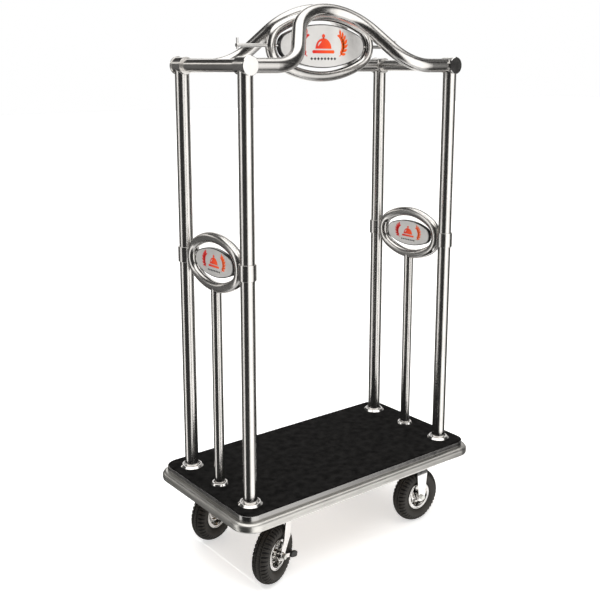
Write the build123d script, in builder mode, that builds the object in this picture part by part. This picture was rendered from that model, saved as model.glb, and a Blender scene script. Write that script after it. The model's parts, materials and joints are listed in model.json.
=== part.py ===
"""Hotel luggage cart: a carpeted deck on four pneumatic casters, under an arched tube frame.

Millimetres. +X runs along the deck's length, +Y across it and +Z up. The origin is on the floor,
under the middle of the deck. The swivel casters are at -X and the rigid casters at +X.
"""
from math import acos, atan2, cos, degrees, radians, sin, sqrt, tan
import os

from build123d import *

os.makedirs("parts", exist_ok=True)

# ---- driving dimensions: deck ----
DECK_LENGTH = 1143.0
DECK_WIDTH = 610.0
RIM_DEPTH = 20.0
RIM_HEIGHT = 34.0
RIM_CORNER = 72.0
RIM_TOP_ROUND = 15.0
RIM_BOTTOM_ROUND = 9.0
RIM_BELOW_TOP = 58.0
SKIRT_WALL = 2.5
SKIRT_BELOW_TOP = 3.0
CARPET_THICKNESS = 6.0
CARPET_EDGE_ROUND = 2.5
BOARD_THICKNESS = 19.0

# ---- driving dimensions: frame ----
POST_FROM_END = 98.0
POST_FROM_SIDE = 108.6
POST_DIAMETER = 50.8
POST_WALL = 2.0
RAIL_HEIGHT = 1509.0
RAIL_DIAMETER = 44.5
SLEEVE_WALL = 7.6
SLEEVE_OUTER_LIP = 0.6
SLEEVE_INNER_LIP = 5.6
CAP_PROUD = 2.25
CAP_THICKNESS = 6.0
CAP_ROUND = 2.0
CAP_SPIGOT = 12.0
END_POST_DIAMETER = 38.1
RING_TUBE = 38.1
RING_WALL = 2.0
SIDE_RING_HEIGHT = 833.0
SIDE_RING_IN_COLLAR = 5.15
SIDE_RING_SEMI_Z = 87.5
SIDE_RING_END_RADIUS = 64.0
SIDE_PLATE_GAP_Y = 12.95
SIDE_PLATE_GAP_Z = 16.95
SIDE_PLATE_THICKNESS = 12.0
COLLAR_WALL = 5.1
COLLAR_HEIGHT = 56.0
COLLAR_ROUND = 1.2
ARCH_RISE = 194.0
ARCH_FOOT_BEND_X = 263.0
ARCH_TOP_BEND_X = 117.0
ARCH_TOP_STRAIGHT = 5.0
ARCH_FOOT_RADIUS = 158.0
CROWN_BELOW_APEX = 16.5
CROWN_SEMI_X = 230.0
CROWN_SEMI_Z = 108.5
CROWN_END_RADIUS = 70.0
CROWN_PLATE_GAP_X = 13.95
CROWN_PLATE_GAP_Z = 11.45
CROWN_PLATE_THICKNESS = 20.0
FACE_SHEET = 2.0
FACE_INSET = 3.5
CROWN_PIN = 10.0
SIDE_PIN = 8.0
PIN_SEAT = 5.0
HANGER_TIP = 375.0
HANGER_DIAMETER = 12.7
STUB_DIAMETER = 8.0
STUB_RISE = 25.0
STUB_DROP = 13.0
SADDLE_LENGTH = 68.0
SADDLE_LOW = 6.0
SADDLE_HIGH = 21.0
RING_TOP_TRIM = 10.0
FLANGE_BAND = 18.6
END_FLANGE_BAND = 12.95
FLANGE_HEIGHT = 8.0
FLANGE_SEAT = 3.0

# ---- driving dimensions: chassis and casters ----
CASTER_FROM_SIDE = 111.0
CASTER_FROM_END = 223.5
SWIVEL_TURNS = {"front_left": 23.0, "back_left": 16.0}
SWIVEL_TRAIL = 45.0
CHASSIS_HEIGHT = 36.0
BOLSTER_WIDTH = 130.0
BOLSTER_FROM_SIDE = 55.0
BOLSTER_WALL = 4.0
RAIL_BOX_WIDTH = 40.0
RAIL_BOX_WALL = 3.0
RAIL_BOX_Y = 110.0
PLATE_X = 115.0
PLATE_Y = 100.0
PLATE_THICKNESS = 6.0
PLATE_CORNER = 10.0
PLATE_BOLT_X = 90.0
PLATE_BOLT_Y = 75.0
PLATE_BOLT = 10.0
TYRE_DIAMETER = 218.0
TYRE_WIDTH = 62.0
TYRE_WALL = 8.0
RIM_SEAT_RADIUS = 50.0
WHEEL_FLANGE_RADIUS = 57.0
TYRE_PAST_FLANGE = 6.0
WHEEL_BARREL_WALL = 3.0
WHEEL_WEB = 8.0
WHEEL_HOLES = 4
WHEEL_HOLE_DIAMETER = 16.0
WHEEL_HOLE_CIRCLE = 34.0
HUB_DIAMETER = 40.0
HUB_PLAY = 1.0
BEARING_DIAMETER = 28.0
BEARING_WIDTH = 10.0
AXLE_DIAMETER = 12.0
AXLE_HEAD = 19.0
AXLE_HEAD_HEIGHT = 8.0
TYRE_TO_FORK = 5.0
TYRE_TO_CROWN = 17.0
FORK_PLATE = 5.0
FORK_CROWN = 8.0
FORK_CROWN_FRONT = 34.0
FORK_CROWN_BACK = 38.0
FORK_LEG_FRONT = 26.0
FORK_LEG_BACK = 15.0
FORK_KNEE_FRONT = 14.0
FORK_KNEE_BACK = 30.0
FORK_KNEE_RISE = 54.0
FORK_EYE = 17.0
RIGID_LEG_TOP = 64.0
RACE_DIAMETER = 76.0
LOWER_RACE = 6.7
RACE_GAP = 0.3
UPPER_RACE = 8.0
KINGPIN_DIAMETER = 12.7
KINGPIN_NUT = 22.0
KINGPIN_NUT_HEIGHT = 8.0
LEVER_THICKNESS = 5.0
LEVER_EYE = 14.0
LEVER_WIDTH = 14.0
LEVER_REACH = 72.0
LEVER_SLOPE = -20.0
PEDAL_LENGTH = 44.0
PEDAL_WIDTH = 20.0
PEDAL_THICKNESS = 14.0
PEDAL_OVERLAP = 18.0

# ---- fits ----
FIT = 0.15
WELD_GAP = 0.2
APEX_GAP = 0.5
RUNNING = 0.05
SIDE_PLAY = 0.5

# ---- places worked out from the sizes above ----
FORK_CROWN_TOP = TYRE_DIAMETER + TYRE_TO_CROWN + FORK_CROWN
PLATE_BOTTOM = FORK_CROWN_TOP + LOWER_RACE + RACE_GAP + UPPER_RACE
CHASSIS_BOTTOM = PLATE_BOTTOM + PLATE_THICKNESS
BOARD_BOTTOM = CHASSIS_BOTTOM + CHASSIS_HEIGHT
BOARD_TOP = BOARD_BOTTOM + BOARD_THICKNESS
DECK_TOP = BOARD_TOP + CARPET_THICKNESS
SKIRT_LENGTH = DECK_LENGTH - 2 * RIM_DEPTH
SKIRT_WIDTH = DECK_WIDTH - 2 * RIM_DEPTH
SKIRT_CORNER = RIM_CORNER - RIM_DEPTH
RIM_BOTTOM = DECK_TOP - RIM_BELOW_TOP
RAIL_Z = DECK_TOP + RAIL_HEIGHT
RING_Z = DECK_TOP + SIDE_RING_HEIGHT
APEX_Z = RAIL_Z + ARCH_RISE
CROWN_Z = APEX_Z - CROWN_BELOW_APEX - CROWN_SEMI_Z
TUBE = POST_DIAMETER / 2
RING = RING_TUBE / 2
POST_X = DECK_LENGTH / 2 - POST_FROM_END
POST_Y = DECK_WIDTH / 2 - POST_FROM_SIDE
FLANGE_DIAMETER = POST_DIAMETER + 2 * FLANGE_BAND
END_FLANGE_DIAMETER = END_POST_DIAMETER + 2 * END_FLANGE_BAND
COLLAR_DIAMETER = POST_DIAMETER + 2 * COLLAR_WALL
SLEEVE_DIAMETER = RAIL_DIAMETER + 2 * (SLEEVE_WALL + FIT)
SLEEVE_LENGTH = SLEEVE_OUTER_LIP + POST_DIAMETER + SLEEVE_INNER_LIP
SLEEVE_END = POST_Y + TUBE + SLEEVE_OUTER_LIP
CAP_DIAMETER = SLEEVE_DIAMETER + 2 * CAP_PROUD
ARCH_APEX_Y = TUBE + APEX_GAP
ARCH_SLANT_X = ARCH_FOOT_BEND_X - ARCH_TOP_BEND_X
ARCH_SLANT = sqrt(ARCH_SLANT_X**2 + (POST_Y - ARCH_APEX_Y) ** 2 + ARCH_RISE**2)
ARCH_TURN = acos(ARCH_SLANT_X / ARCH_SLANT)
ARCH_TOP_RADIUS = (ARCH_TOP_BEND_X - ARCH_TOP_STRAIGHT / 2) / tan(ARCH_TURN / 2)
SIDE_RING_SEMI_Y = POST_Y - COLLAR_DIAMETER / 2 - RING + SIDE_RING_IN_COLLAR
SIDE_PLATE_SEMI_Y = SIDE_RING_SEMI_Y - RING - SIDE_PLATE_GAP_Y
SIDE_PLATE_SEMI_Z = SIDE_RING_SEMI_Z - RING - SIDE_PLATE_GAP_Z
SIDE_PLATE_END_RADIUS = SIDE_RING_END_RADIUS - RING - (SIDE_PLATE_GAP_Y + SIDE_PLATE_GAP_Z) / 3
CROWN_PLATE_SEMI_X = CROWN_SEMI_X - RING - CROWN_PLATE_GAP_X
CROWN_PLATE_SEMI_Z = CROWN_SEMI_Z - RING - CROWN_PLATE_GAP_Z
CROWN_PLATE_END_RADIUS = CROWN_END_RADIUS - RING - (CROWN_PLATE_GAP_X + CROWN_PLATE_GAP_Z) / 5
CASTER_Y = DECK_WIDTH / 2 - CASTER_FROM_SIDE
RIGID_X = DECK_LENGTH / 2 - CASTER_FROM_END
SWIVEL_X = -RIGID_X
BOLSTER_LENGTH = DECK_WIDTH - 2 * BOLSTER_FROM_SIDE
WHEEL_RADIUS = TYRE_DIAMETER / 2
WHEEL_FLANGE_WIDTH = TYRE_WIDTH - 2 * TYRE_PAST_FLANGE
AXLE = AXLE_DIAMETER / 2
FORK_GAP = TYRE_WIDTH + 2 * TYRE_TO_FORK
FORK_OUTER = FORK_GAP / 2 + FORK_PLATE
HUB_LENGTH = FORK_GAP - 2 * HUB_PLAY
CORNERS = {
    "front_left": (-POST_X, -POST_Y),
    "front_right": (POST_X, -POST_Y),
    "back_left": (-POST_X, POST_Y),
    "back_right": (POST_X, POST_Y),
}
ENDS = {"left": -POST_X, "right": POST_X}
SIDES = {"front": -1, "back": 1}


def save(piece, node):
    """Label a finished piece and write its STEP file."""
    piece.part.label = node
    export_step(piece.part, f"parts/{node}.step")


def oval(semi_long, semi_short, end_radius):
    """Draw a closed four-arc oval, its long way along the workplane's X."""
    middle_radius = ((semi_long - end_radius) ** 2 + semi_short**2 - end_radius**2) / (
        2 * (semi_short - end_radius)
    )
    end_centre = semi_long - end_radius
    middle_centre = middle_radius - semi_short
    meet = degrees(atan2(middle_centre, end_centre))
    CenterArc((end_centre, 0), end_radius, -meet, 2 * meet)
    CenterArc((0, -middle_centre), middle_radius, meet, 180 - 2 * meet)
    CenterArc((-end_centre, 0), end_radius, 180 - meet, 2 * meet)
    CenterArc((0, middle_centre), middle_radius, 180 + meet, 180 - 2 * meet)


def tube_along(route, radius, wall):
    """Sweep a round tube along a route, or a solid bar where wall is None."""
    start = Plane(origin=route @ 0, z_dir=route % 0)
    with BuildPart() as tube:
        with BuildSketch(start):
            Circle(radius)
            if wall is not None:
                Circle(radius - wall, mode=Mode.SUBTRACT)
        sweep(path=route)
    return tube.part


def oval_route(plane, semi_long, semi_short, end_radius):
    """The centreline of an oval ring in a plane."""
    with BuildLine(plane) as line:
        oval(semi_long, semi_short, end_radius)
    return line.wires()[0]


def arch_route(side):
    """The centreline of one arch: up from both corners of a long side to the crown's middle."""
    foot_y = side * POST_Y
    top_y = side * ARCH_APEX_Y
    with BuildLine() as line:
        FilletPolyline(
            (-POST_X, foot_y, RAIL_Z),
            (-ARCH_FOOT_BEND_X, foot_y, RAIL_Z),
            (-ARCH_TOP_BEND_X, top_y, APEX_Z),
            (ARCH_TOP_BEND_X, top_y, APEX_Z),
            (ARCH_FOOT_BEND_X, foot_y, RAIL_Z),
            (POST_X, foot_y, RAIL_Z),
            radius=[ARCH_FOOT_RADIUS, ARCH_TOP_RADIUS, ARCH_TOP_RADIUS, ARCH_FOOT_RADIUS],
        )
    return line.wires()[0]


def round_bar(origin, direction, radius, length):
    """A plain round bar used as a cutter: it starts at origin."""
    with BuildPart() as bar:
        with BuildSketch(Plane(origin=origin, z_dir=direction)):
            Circle(radius)
        extrude(amount=length)
    return bar.part


# ---- shared planes, routes and cutters ----
CROWN_PLANE = Plane.XZ
CROWN_PLANE.origin = (0, 0, CROWN_Z)
SIDE_PLANES = {
    end: Plane(origin=(x, 0, RING_Z), x_dir=(0, 1, 0), z_dir=(1, 0, 0)) for end, x in ENDS.items()
}
CROWN_ROUTE = oval_route(CROWN_PLANE, CROWN_SEMI_X, CROWN_SEMI_Z, CROWN_END_RADIUS)
SIDE_ROUTES = {
    end: oval_route(plane, SIDE_RING_SEMI_Y, SIDE_RING_SEMI_Z, SIDE_RING_END_RADIUS)
    for end, plane in SIDE_PLANES.items()
}
ARCH_ROUTES = {name: arch_route(side) for name, side in SIDES.items()}
ARCH_CUTTERS = {
    name: tube_along(route, TUBE + WELD_GAP, None) for name, route in ARCH_ROUTES.items()
}
POST_CUTTERS = [
    round_bar((x, y, BOARD_TOP), (0, 0, 1), TUBE + WELD_GAP, RAIL_Z - BOARD_TOP)
    for x, y in CORNERS.values()
]
SLEEVE_CUTTERS = [
    round_bar((x, -SLEEVE_END, RAIL_Z), (0, 1, 0), SLEEVE_DIAMETER / 2 + WELD_GAP, 2 * SLEEVE_END)
    for x in ENDS.values()
]


# ---- deck ----
def deck_board():
    """The plywood core, drilled for the post bolts."""
    inner_corner = SKIRT_CORNER - SKIRT_WALL - FIT
    with BuildPart() as board:
        with BuildSketch(Plane.XY.offset(BOARD_BOTTOM)):
            RectangleRounded(
                SKIRT_LENGTH - 2 * (SKIRT_WALL + FIT),
                SKIRT_WIDTH - 2 * (SKIRT_WALL + FIT),
                inner_corner,
            )
            with Locations(*post_feet()):
                Circle(PLATE_BOLT / 2 + FIT, mode=Mode.SUBTRACT)
        extrude(amount=BOARD_THICKNESS)
    save(board, "deck_board")


def post_feet():
    """Where the six uprights stand on the deck."""
    return list(CORNERS.values()) + [(x, 0) for x in ENDS.values()]


def carpet():
    """The carpet, with a hole for each upright and a rounded upper edge."""
    inner_corner = SKIRT_CORNER - SKIRT_WALL - FIT
    with BuildPart() as pile:
        with BuildSketch(Plane.XY.offset(BOARD_TOP)):
            RectangleRounded(
                SKIRT_LENGTH - 2 * (SKIRT_WALL + FIT),
                SKIRT_WIDTH - 2 * (SKIRT_WALL + FIT),
                inner_corner,
            )
        extrude(amount=CARPET_THICKNESS)
        fillet(pile.faces().sort_by(Axis.Z)[-1].edges(), CARPET_EDGE_ROUND)
        with BuildSketch(Plane.XY.offset(BOARD_TOP)):
            with Locations(*CORNERS.values()):
                Circle(TUBE + 2 * FIT)
            with Locations(*[(x, 0) for x in ENDS.values()]):
                Circle(END_POST_DIAMETER / 2 + 2 * FIT)
        extrude(amount=CARPET_THICKNESS, mode=Mode.SUBTRACT)
    save(pile, "carpet")


def deck_skirt():
    """The polished metal band around the board; its upper part shows above the rim."""
    top = DECK_TOP - SKIRT_BELOW_TOP
    with BuildPart() as skirt:
        with BuildSketch(Plane.XY.offset(RIM_BOTTOM)):
            RectangleRounded(SKIRT_LENGTH, SKIRT_WIDTH, SKIRT_CORNER)
            RectangleRounded(
                SKIRT_LENGTH - 2 * SKIRT_WALL,
                SKIRT_WIDTH - 2 * SKIRT_WALL,
                SKIRT_CORNER - SKIRT_WALL,
                mode=Mode.SUBTRACT,
            )
        extrude(amount=top - RIM_BOTTOM)
        fillet(skirt.faces().sort_by(Axis.Z)[-1].outer_wire().edges(), SKIRT_WALL / 2)
    save(skirt, "deck_skirt")


def deck_rim():
    """The D-shaped rim that wraps round the lower part of the skirt."""
    with BuildPart() as rim:
        with BuildSketch(Plane.XY.offset(RIM_BOTTOM)):
            RectangleRounded(DECK_LENGTH, DECK_WIDTH, RIM_CORNER)
            RectangleRounded(
                SKIRT_LENGTH + 2 * FIT, SKIRT_WIDTH + 2 * FIT, SKIRT_CORNER + FIT, mode=Mode.SUBTRACT
            )
        extrude(amount=RIM_HEIGHT)
        fillet(rim.faces().sort_by(Axis.Z)[-1].outer_wire().edges(), RIM_TOP_ROUND)
        fillet(rim.faces().sort_by(Axis.Z)[0].outer_wire().edges(), RIM_BOTTOM_ROUND)
    save(rim, "deck_rim")


# ---- chassis under the deck ----
def bolsters():
    """Two open-topped channels across the deck that carry the casters."""
    with BuildPart() as channels:
        with BuildSketch(Plane.XY.offset(CHASSIS_BOTTOM)):
            with Locations((SWIVEL_X, 0), (RIGID_X, 0)):
                Rectangle(BOLSTER_WIDTH, BOLSTER_LENGTH)
        extrude(amount=CHASSIS_HEIGHT)
        with BuildSketch(Plane.XY.offset(CHASSIS_BOTTOM + BOLSTER_WALL)):
            with Locations((SWIVEL_X, 0), (RIGID_X, 0)):
                Rectangle(BOLSTER_WIDTH - 2 * BOLSTER_WALL, BOLSTER_LENGTH)
        extrude(amount=CHASSIS_HEIGHT, mode=Mode.SUBTRACT)
        with BuildSketch(Plane.XY.offset(CHASSIS_BOTTOM)):
            with Locations(*caster_bolt_places()):
                Circle(PLATE_BOLT / 2 + FIT)
            with Locations((SWIVEL_X, -CASTER_Y), (SWIVEL_X, CASTER_Y)):
                Circle(KINGPIN_DIAMETER / 2 + FIT)
        extrude(amount=BOLSTER_WALL, mode=Mode.SUBTRACT)
    save(channels, "bolsters")


def chassis_rails():
    """Two box-section rails along the deck between the bolsters."""
    start = SWIVEL_X + BOLSTER_WIDTH / 2 + WELD_GAP
    end = RIGID_X - BOLSTER_WIDTH / 2 - WELD_GAP
    with BuildPart() as rails:
        with BuildSketch(Plane(origin=(start, 0, CHASSIS_BOTTOM), x_dir=(0, 1, 0), z_dir=(1, 0, 0))):
            with Locations((-RAIL_BOX_Y, CHASSIS_HEIGHT / 2), (RAIL_BOX_Y, CHASSIS_HEIGHT / 2)):
                Rectangle(RAIL_BOX_WIDTH, CHASSIS_HEIGHT)
                Rectangle(
                    RAIL_BOX_WIDTH - 2 * RAIL_BOX_WALL,
                    CHASSIS_HEIGHT - 2 * RAIL_BOX_WALL,
                    mode=Mode.SUBTRACT,
                )
        extrude(amount=end - start)
    save(rails, "chassis_rails")


def caster_places():
    """The four caster mounting centres."""
    return [(x, y) for x in (SWIVEL_X, RIGID_X) for y in (-CASTER_Y, CASTER_Y)]


def caster_bolt_places():
    """All sixteen caster bolts."""
    steps = [(i * PLATE_BOLT_X / 2, j * PLATE_BOLT_Y / 2) for i in (-1, 1) for j in (-1, 1)]
    return [(x + dx, y + dy) for x, y in caster_places() for dx, dy in steps]


def caster_bolts():
    """Hex bolts through each caster plate and bolster, with a nut inside the channel."""
    head = PLATE_BOLT * 0.65
    with BuildPart() as bolts:
        with BuildSketch(Plane.XY.offset(PLATE_BOTTOM - head)):
            with Locations(*caster_bolt_places()):
                RegularPolygon(PLATE_BOLT * 0.85, 6, major_radius=False)
        extrude(amount=head - FIT)
        with BuildSketch(Plane.XY.offset(PLATE_BOTTOM - head)):
            with Locations(*caster_bolt_places()):
                Circle(PLATE_BOLT / 2)
        extrude(amount=head + PLATE_THICKNESS + BOLSTER_WALL + 2 * head)
        with BuildSketch(Plane.XY.offset(CHASSIS_BOTTOM + BOLSTER_WALL + FIT)):
            with Locations(*caster_bolt_places()):
                RegularPolygon(PLATE_BOLT * 0.85, 6, major_radius=False)
        extrude(amount=PLATE_BOLT * 0.8)
    save(bolts, "caster_bolts")


def post_bolts():
    """Foot plugs in the six uprights, each with its bolt and washer under the board."""
    washer = 3.0
    with BuildPart() as feet:
        with BuildSketch(Plane.XY.offset(BOARD_TOP)):
            with Locations(*CORNERS.values()):
                Circle(TUBE - POST_WALL - FIT)
            with Locations(*[(x, 0) for x in ENDS.values()]):
                Circle(END_POST_DIAMETER / 2 - RING_WALL - FIT)
        extrude(amount=POST_DIAMETER / 2)
        with BuildSketch(Plane.XY.offset(BOARD_BOTTOM)):
            with Locations(*post_feet()):
                Circle(PLATE_BOLT / 2)
        extrude(amount=BOARD_THICKNESS)
        with BuildSketch(Plane.XY.offset(BOARD_BOTTOM)):
            with Locations(*post_feet()):
                Circle(PLATE_BOLT * 1.3)
        extrude(amount=-washer)
        with BuildSketch(Plane.XY.offset(BOARD_BOTTOM - washer)):
            with Locations(*post_feet()):
                RegularPolygon(PLATE_BOLT * 0.85, 6, major_radius=False)
        extrude(amount=-PLATE_BOLT * 0.65)
    save(feet, "post_bolts")


# ---- uprights ----
def posts():
    """Four corner posts, each with its top shaped to the corner sleeve."""
    for corner, (x, y) in CORNERS.items():
        with BuildPart() as post:
            with BuildSketch(Plane(origin=(x, y, BOARD_TOP))):
                Circle(TUBE)
                Circle(TUBE - POST_WALL, mode=Mode.SUBTRACT)
            extrude(amount=RAIL_Z - BOARD_TOP)
            add(SLEEVE_CUTTERS, mode=Mode.SUBTRACT)
        save(post, f"post_{corner}")


def end_posts():
    """The slim middle upright at each end, shaped at its top to the side ring."""
    for end, x in ENDS.items():
        cutter = tube_along(SIDE_ROUTES[end], RING + WELD_GAP, None)
        with BuildPart() as post:
            with BuildSketch(Plane(origin=(x, 0, BOARD_TOP))):
                Circle(END_POST_DIAMETER / 2)
                Circle(END_POST_DIAMETER / 2 - RING_WALL, mode=Mode.SUBTRACT)
            extrude(amount=RING_Z - SIDE_RING_SEMI_Z - BOARD_TOP)
            add(cutter, mode=Mode.SUBTRACT)
        save(post, f"end_post_{end}")


def flange(x, y, post_radius, diameter):
    """One dished rosette that rests on the carpet round an upright."""
    bore = post_radius + FIT
    outer = diameter / 2
    ridge = bore + (outer - bore) * 0.5
    rise = ridge - FLANGE_SEAT
    fall = ridge + FLANGE_SEAT
    with BuildPart() as rosette:
        with BuildSketch(Plane(origin=(x, y, DECK_TOP), x_dir=(1, 0, 0), z_dir=(0, -1, 0))):
            with BuildLine():
                Polyline(
                    (fall, FLANGE_HEIGHT - 1),
                    (outer, 1),
                    (outer, 0),
                    (bore, 0),
                    (bore, FLANGE_SEAT),
                    (bore + 1, FLANGE_SEAT),
                    (rise, FLANGE_HEIGHT - 1),
                )
                ThreePointArc((rise, FLANGE_HEIGHT - 1), (ridge, FLANGE_HEIGHT), (fall, FLANGE_HEIGHT - 1))
            make_face()
        revolve(axis=Axis((x, y, 0), (0, 0, 1)))
    return rosette.part


def post_flanges():
    """Six rosettes round the feet of the uprights."""
    with BuildPart() as flanges:
        for x, y in CORNERS.values():
            add(flange(x, y, TUBE, FLANGE_DIAMETER))
        for x in ENDS.values():
            add(flange(x, 0, END_POST_DIAMETER / 2, END_FLANGE_DIAMETER))
    save(flanges, "post_flanges")


def post_collars():
    """A collar on each corner post, level with the side rings."""
    with BuildPart() as collars:
        with BuildSketch(Plane.XY.offset(RING_Z - COLLAR_HEIGHT / 2)):
            with Locations(*CORNERS.values()):
                Circle(COLLAR_DIAMETER / 2)
                Circle(TUBE + FIT, mode=Mode.SUBTRACT)
        extrude(amount=COLLAR_HEIGHT)
        fillet(collars.edges().filter_by(GeomType.CIRCLE).filter_by(is_collar_edge), COLLAR_ROUND)
    save(collars, "post_collars")


def is_collar_edge(edge):
    """True for the outer edges of a collar."""
    return abs(edge.radius - COLLAR_DIAMETER / 2) < 0.01


# ---- end rails, sleeves and caps ----
def end_rails():
    """The straight rail across the top of each end."""
    reach = SLEEVE_END - FIT
    for end, x in ENDS.items():
        with BuildPart() as rail:
            with BuildSketch(Plane(origin=(x, -reach, RAIL_Z), z_dir=(0, 1, 0))):
                Circle(RAIL_DIAMETER / 2)
                Circle(RAIL_DIAMETER / 2 - POST_WALL, mode=Mode.SUBTRACT)
            extrude(amount=2 * reach)
        save(rail, f"end_rail_{end}")


def corner_sleeves():
    """The four sleeves where a post and an arch meet an end rail."""
    with BuildPart() as sleeves:
        for x in ENDS.values():
            for side in SIDES.values():
                start = Plane(origin=(x, side * SLEEVE_END, RAIL_Z), z_dir=(0, -side, 0))
                with BuildSketch(start):
                    Circle(SLEEVE_DIAMETER / 2)
                    Circle(RAIL_DIAMETER / 2 + FIT, mode=Mode.SUBTRACT)
                extrude(amount=SLEEVE_LENGTH)
    save(sleeves, "corner_sleeves")


def end_caps():
    """Four turned caps that close the rails, each on a spigot."""
    spigot = RAIL_DIAMETER / 2 - POST_WALL - FIT
    with BuildPart() as caps:
        for x in ENDS.values():
            for side in SIDES.values():
                face = Plane(origin=(x, side * SLEEVE_END, RAIL_Z), x_dir=(1, 0, 0), z_dir=(0, 0, 1))
                with BuildSketch(face):
                    with BuildLine():
                        Polyline(
                            (0, -side * CAP_SPIGOT),
                            (spigot, -side * CAP_SPIGOT),
                            (spigot, 0),
                            (CAP_DIAMETER / 2, 0),
                            (CAP_DIAMETER / 2, side * (CAP_THICKNESS - CAP_ROUND)),
                            (CAP_DIAMETER / 2 - CAP_ROUND, side * CAP_THICKNESS),
                            (0, side * CAP_THICKNESS),
                            close=True,
                        )
                    make_face()
                revolve(axis=Axis((x, 0, RAIL_Z), (0, 1, 0)))
    save(caps, "end_caps")


# ---- arches and crown ----
def arches():
    """The two arch tubes, shaped at both ends to the corner sleeves."""
    for name, route in ARCH_ROUTES.items():
        with BuildPart() as arch:
            add(tube_along(route, TUBE, POST_WALL))
            add(SLEEVE_CUTTERS, mode=Mode.SUBTRACT)
            add(POST_CUTTERS, mode=Mode.SUBTRACT)
        save(arch, f"arch_{name}")


def crown_ring():
    """The oval ring under the arches, coped where it seats between them."""
    trim_z = APEX_Z - RING_TOP_TRIM
    with BuildPart() as ring:
        add(tube_along(CROWN_ROUTE, RING, None))
        with BuildSketch(Plane.XY.offset(trim_z)):
            Rectangle(2 * CROWN_SEMI_X, 2 * RING_TUBE)
        extrude(amount=RING_TUBE, mode=Mode.SUBTRACT)
        add(list(ARCH_CUTTERS.values()), mode=Mode.SUBTRACT)
        add(tube_along(CROWN_ROUTE, RING - RING_WALL, None), mode=Mode.SUBTRACT)
        add(pin_bars(CROWN_PLANE, CROWN_SEMI_X - RING, CROWN_PIN, FIT), mode=Mode.SUBTRACT)
    save(ring, "crown_ring")


def pin_bars(plane, reach, diameter, clearance):
    """Cutters for the seats of a plate's two pins, where they cross an edge at the given reach."""
    return [
        round_bar(
            plane.from_local_coords((way * (reach - PIN_SEAT), 0, 0)),
            plane.x_dir * way,
            diameter / 2 + clearance,
            2 * PIN_SEAT,
        )
        for way in (-1, 1)
    ]


def oval_plate(plane, semi_long, semi_short, end_radius, thickness, pin):
    """An oval plate centred on its plane, drilled at both ends for its pins."""
    with BuildPart() as plate:
        with BuildSketch(plane.offset(-thickness / 2)):
            with BuildLine():
                oval(semi_long, semi_short, end_radius)
            make_face()
        extrude(amount=thickness)
        add(pin_bars(plane, semi_long, pin, FIT), mode=Mode.SUBTRACT)
    return plate


def face_sheets(plane, semi_long, semi_short, end_radius, thickness):
    """The two thin face sheets of an oval plate."""
    with BuildPart() as sheets:
        for way in (-1, 1):
            with BuildSketch(plane.offset(way * thickness / 2)):
                with BuildLine():
                    oval(semi_long - FACE_INSET, semi_short - FACE_INSET, end_radius - FACE_INSET)
                make_face()
            extrude(amount=way * FACE_SHEET)
    return sheets.part


def crown_plate():
    """The crown's oval sign plate and its two face sheets."""
    size = (CROWN_PLATE_SEMI_X, CROWN_PLATE_SEMI_Z, CROWN_PLATE_END_RADIUS, CROWN_PLATE_THICKNESS)
    plate = oval_plate(CROWN_PLANE, *size, CROWN_PIN)
    save(plate, "crown_plate")
    with BuildPart() as faces:
        add(face_sheets(CROWN_PLANE, *size))
    save(faces, "crown_faces")


def side_rings():
    """The oval ring at each end, coped where it meets the collars."""
    for end, x in ENDS.items():
        with BuildPart() as ring:
            add(tube_along(SIDE_ROUTES[end], RING, RING_WALL))
            with BuildSketch(Plane.XY.offset(RING_Z - COLLAR_HEIGHT)):
                with Locations((x, -POST_Y), (x, POST_Y)):
                    Circle(COLLAR_DIAMETER / 2 + WELD_GAP)
            extrude(amount=2 * COLLAR_HEIGHT, mode=Mode.SUBTRACT)
            seats = pin_bars(SIDE_PLANES[end], SIDE_RING_SEMI_Y - RING, SIDE_PIN, FIT)
            add(seats, mode=Mode.SUBTRACT)
        save(ring, f"side_ring_{end}")


def side_plates():
    """The oval sign plate in each side ring, and all four of their face sheets."""
    size = (SIDE_PLATE_SEMI_Y, SIDE_PLATE_SEMI_Z, SIDE_PLATE_END_RADIUS, SIDE_PLATE_THICKNESS)
    for end, plane in SIDE_PLANES.items():
        plate = oval_plate(plane, *size, SIDE_PIN)
        save(plate, f"side_plate_{end}")
    with BuildPart() as faces:
        for plane in SIDE_PLANES.values():
            add(face_sheets(plane, *size))
    save(faces, "side_plate_faces")


def plate_pin(plane, inner, outer, diameter):
    """The two pins that hold one plate in its ring."""
    start = inner - PIN_SEAT + FIT
    return [
        round_bar(
            plane.from_local_coords((way * start, 0, 0)),
            plane.x_dir * way,
            diameter / 2,
            outer + PIN_SEAT - FIT - start,
        )
        for way in (-1, 1)
    ]


def plate_pins():
    """Six pins: two for the crown plate and two for each side plate."""
    with BuildPart() as pins:
        add(plate_pin(CROWN_PLANE, CROWN_PLATE_SEMI_X, CROWN_SEMI_X - RING, CROWN_PIN))
        for plane in SIDE_PLANES.values():
            add(plate_pin(plane, SIDE_PLATE_SEMI_Y, SIDE_RING_SEMI_Y - RING, SIDE_PIN))
    save(pins, "plate_pins")


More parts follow.
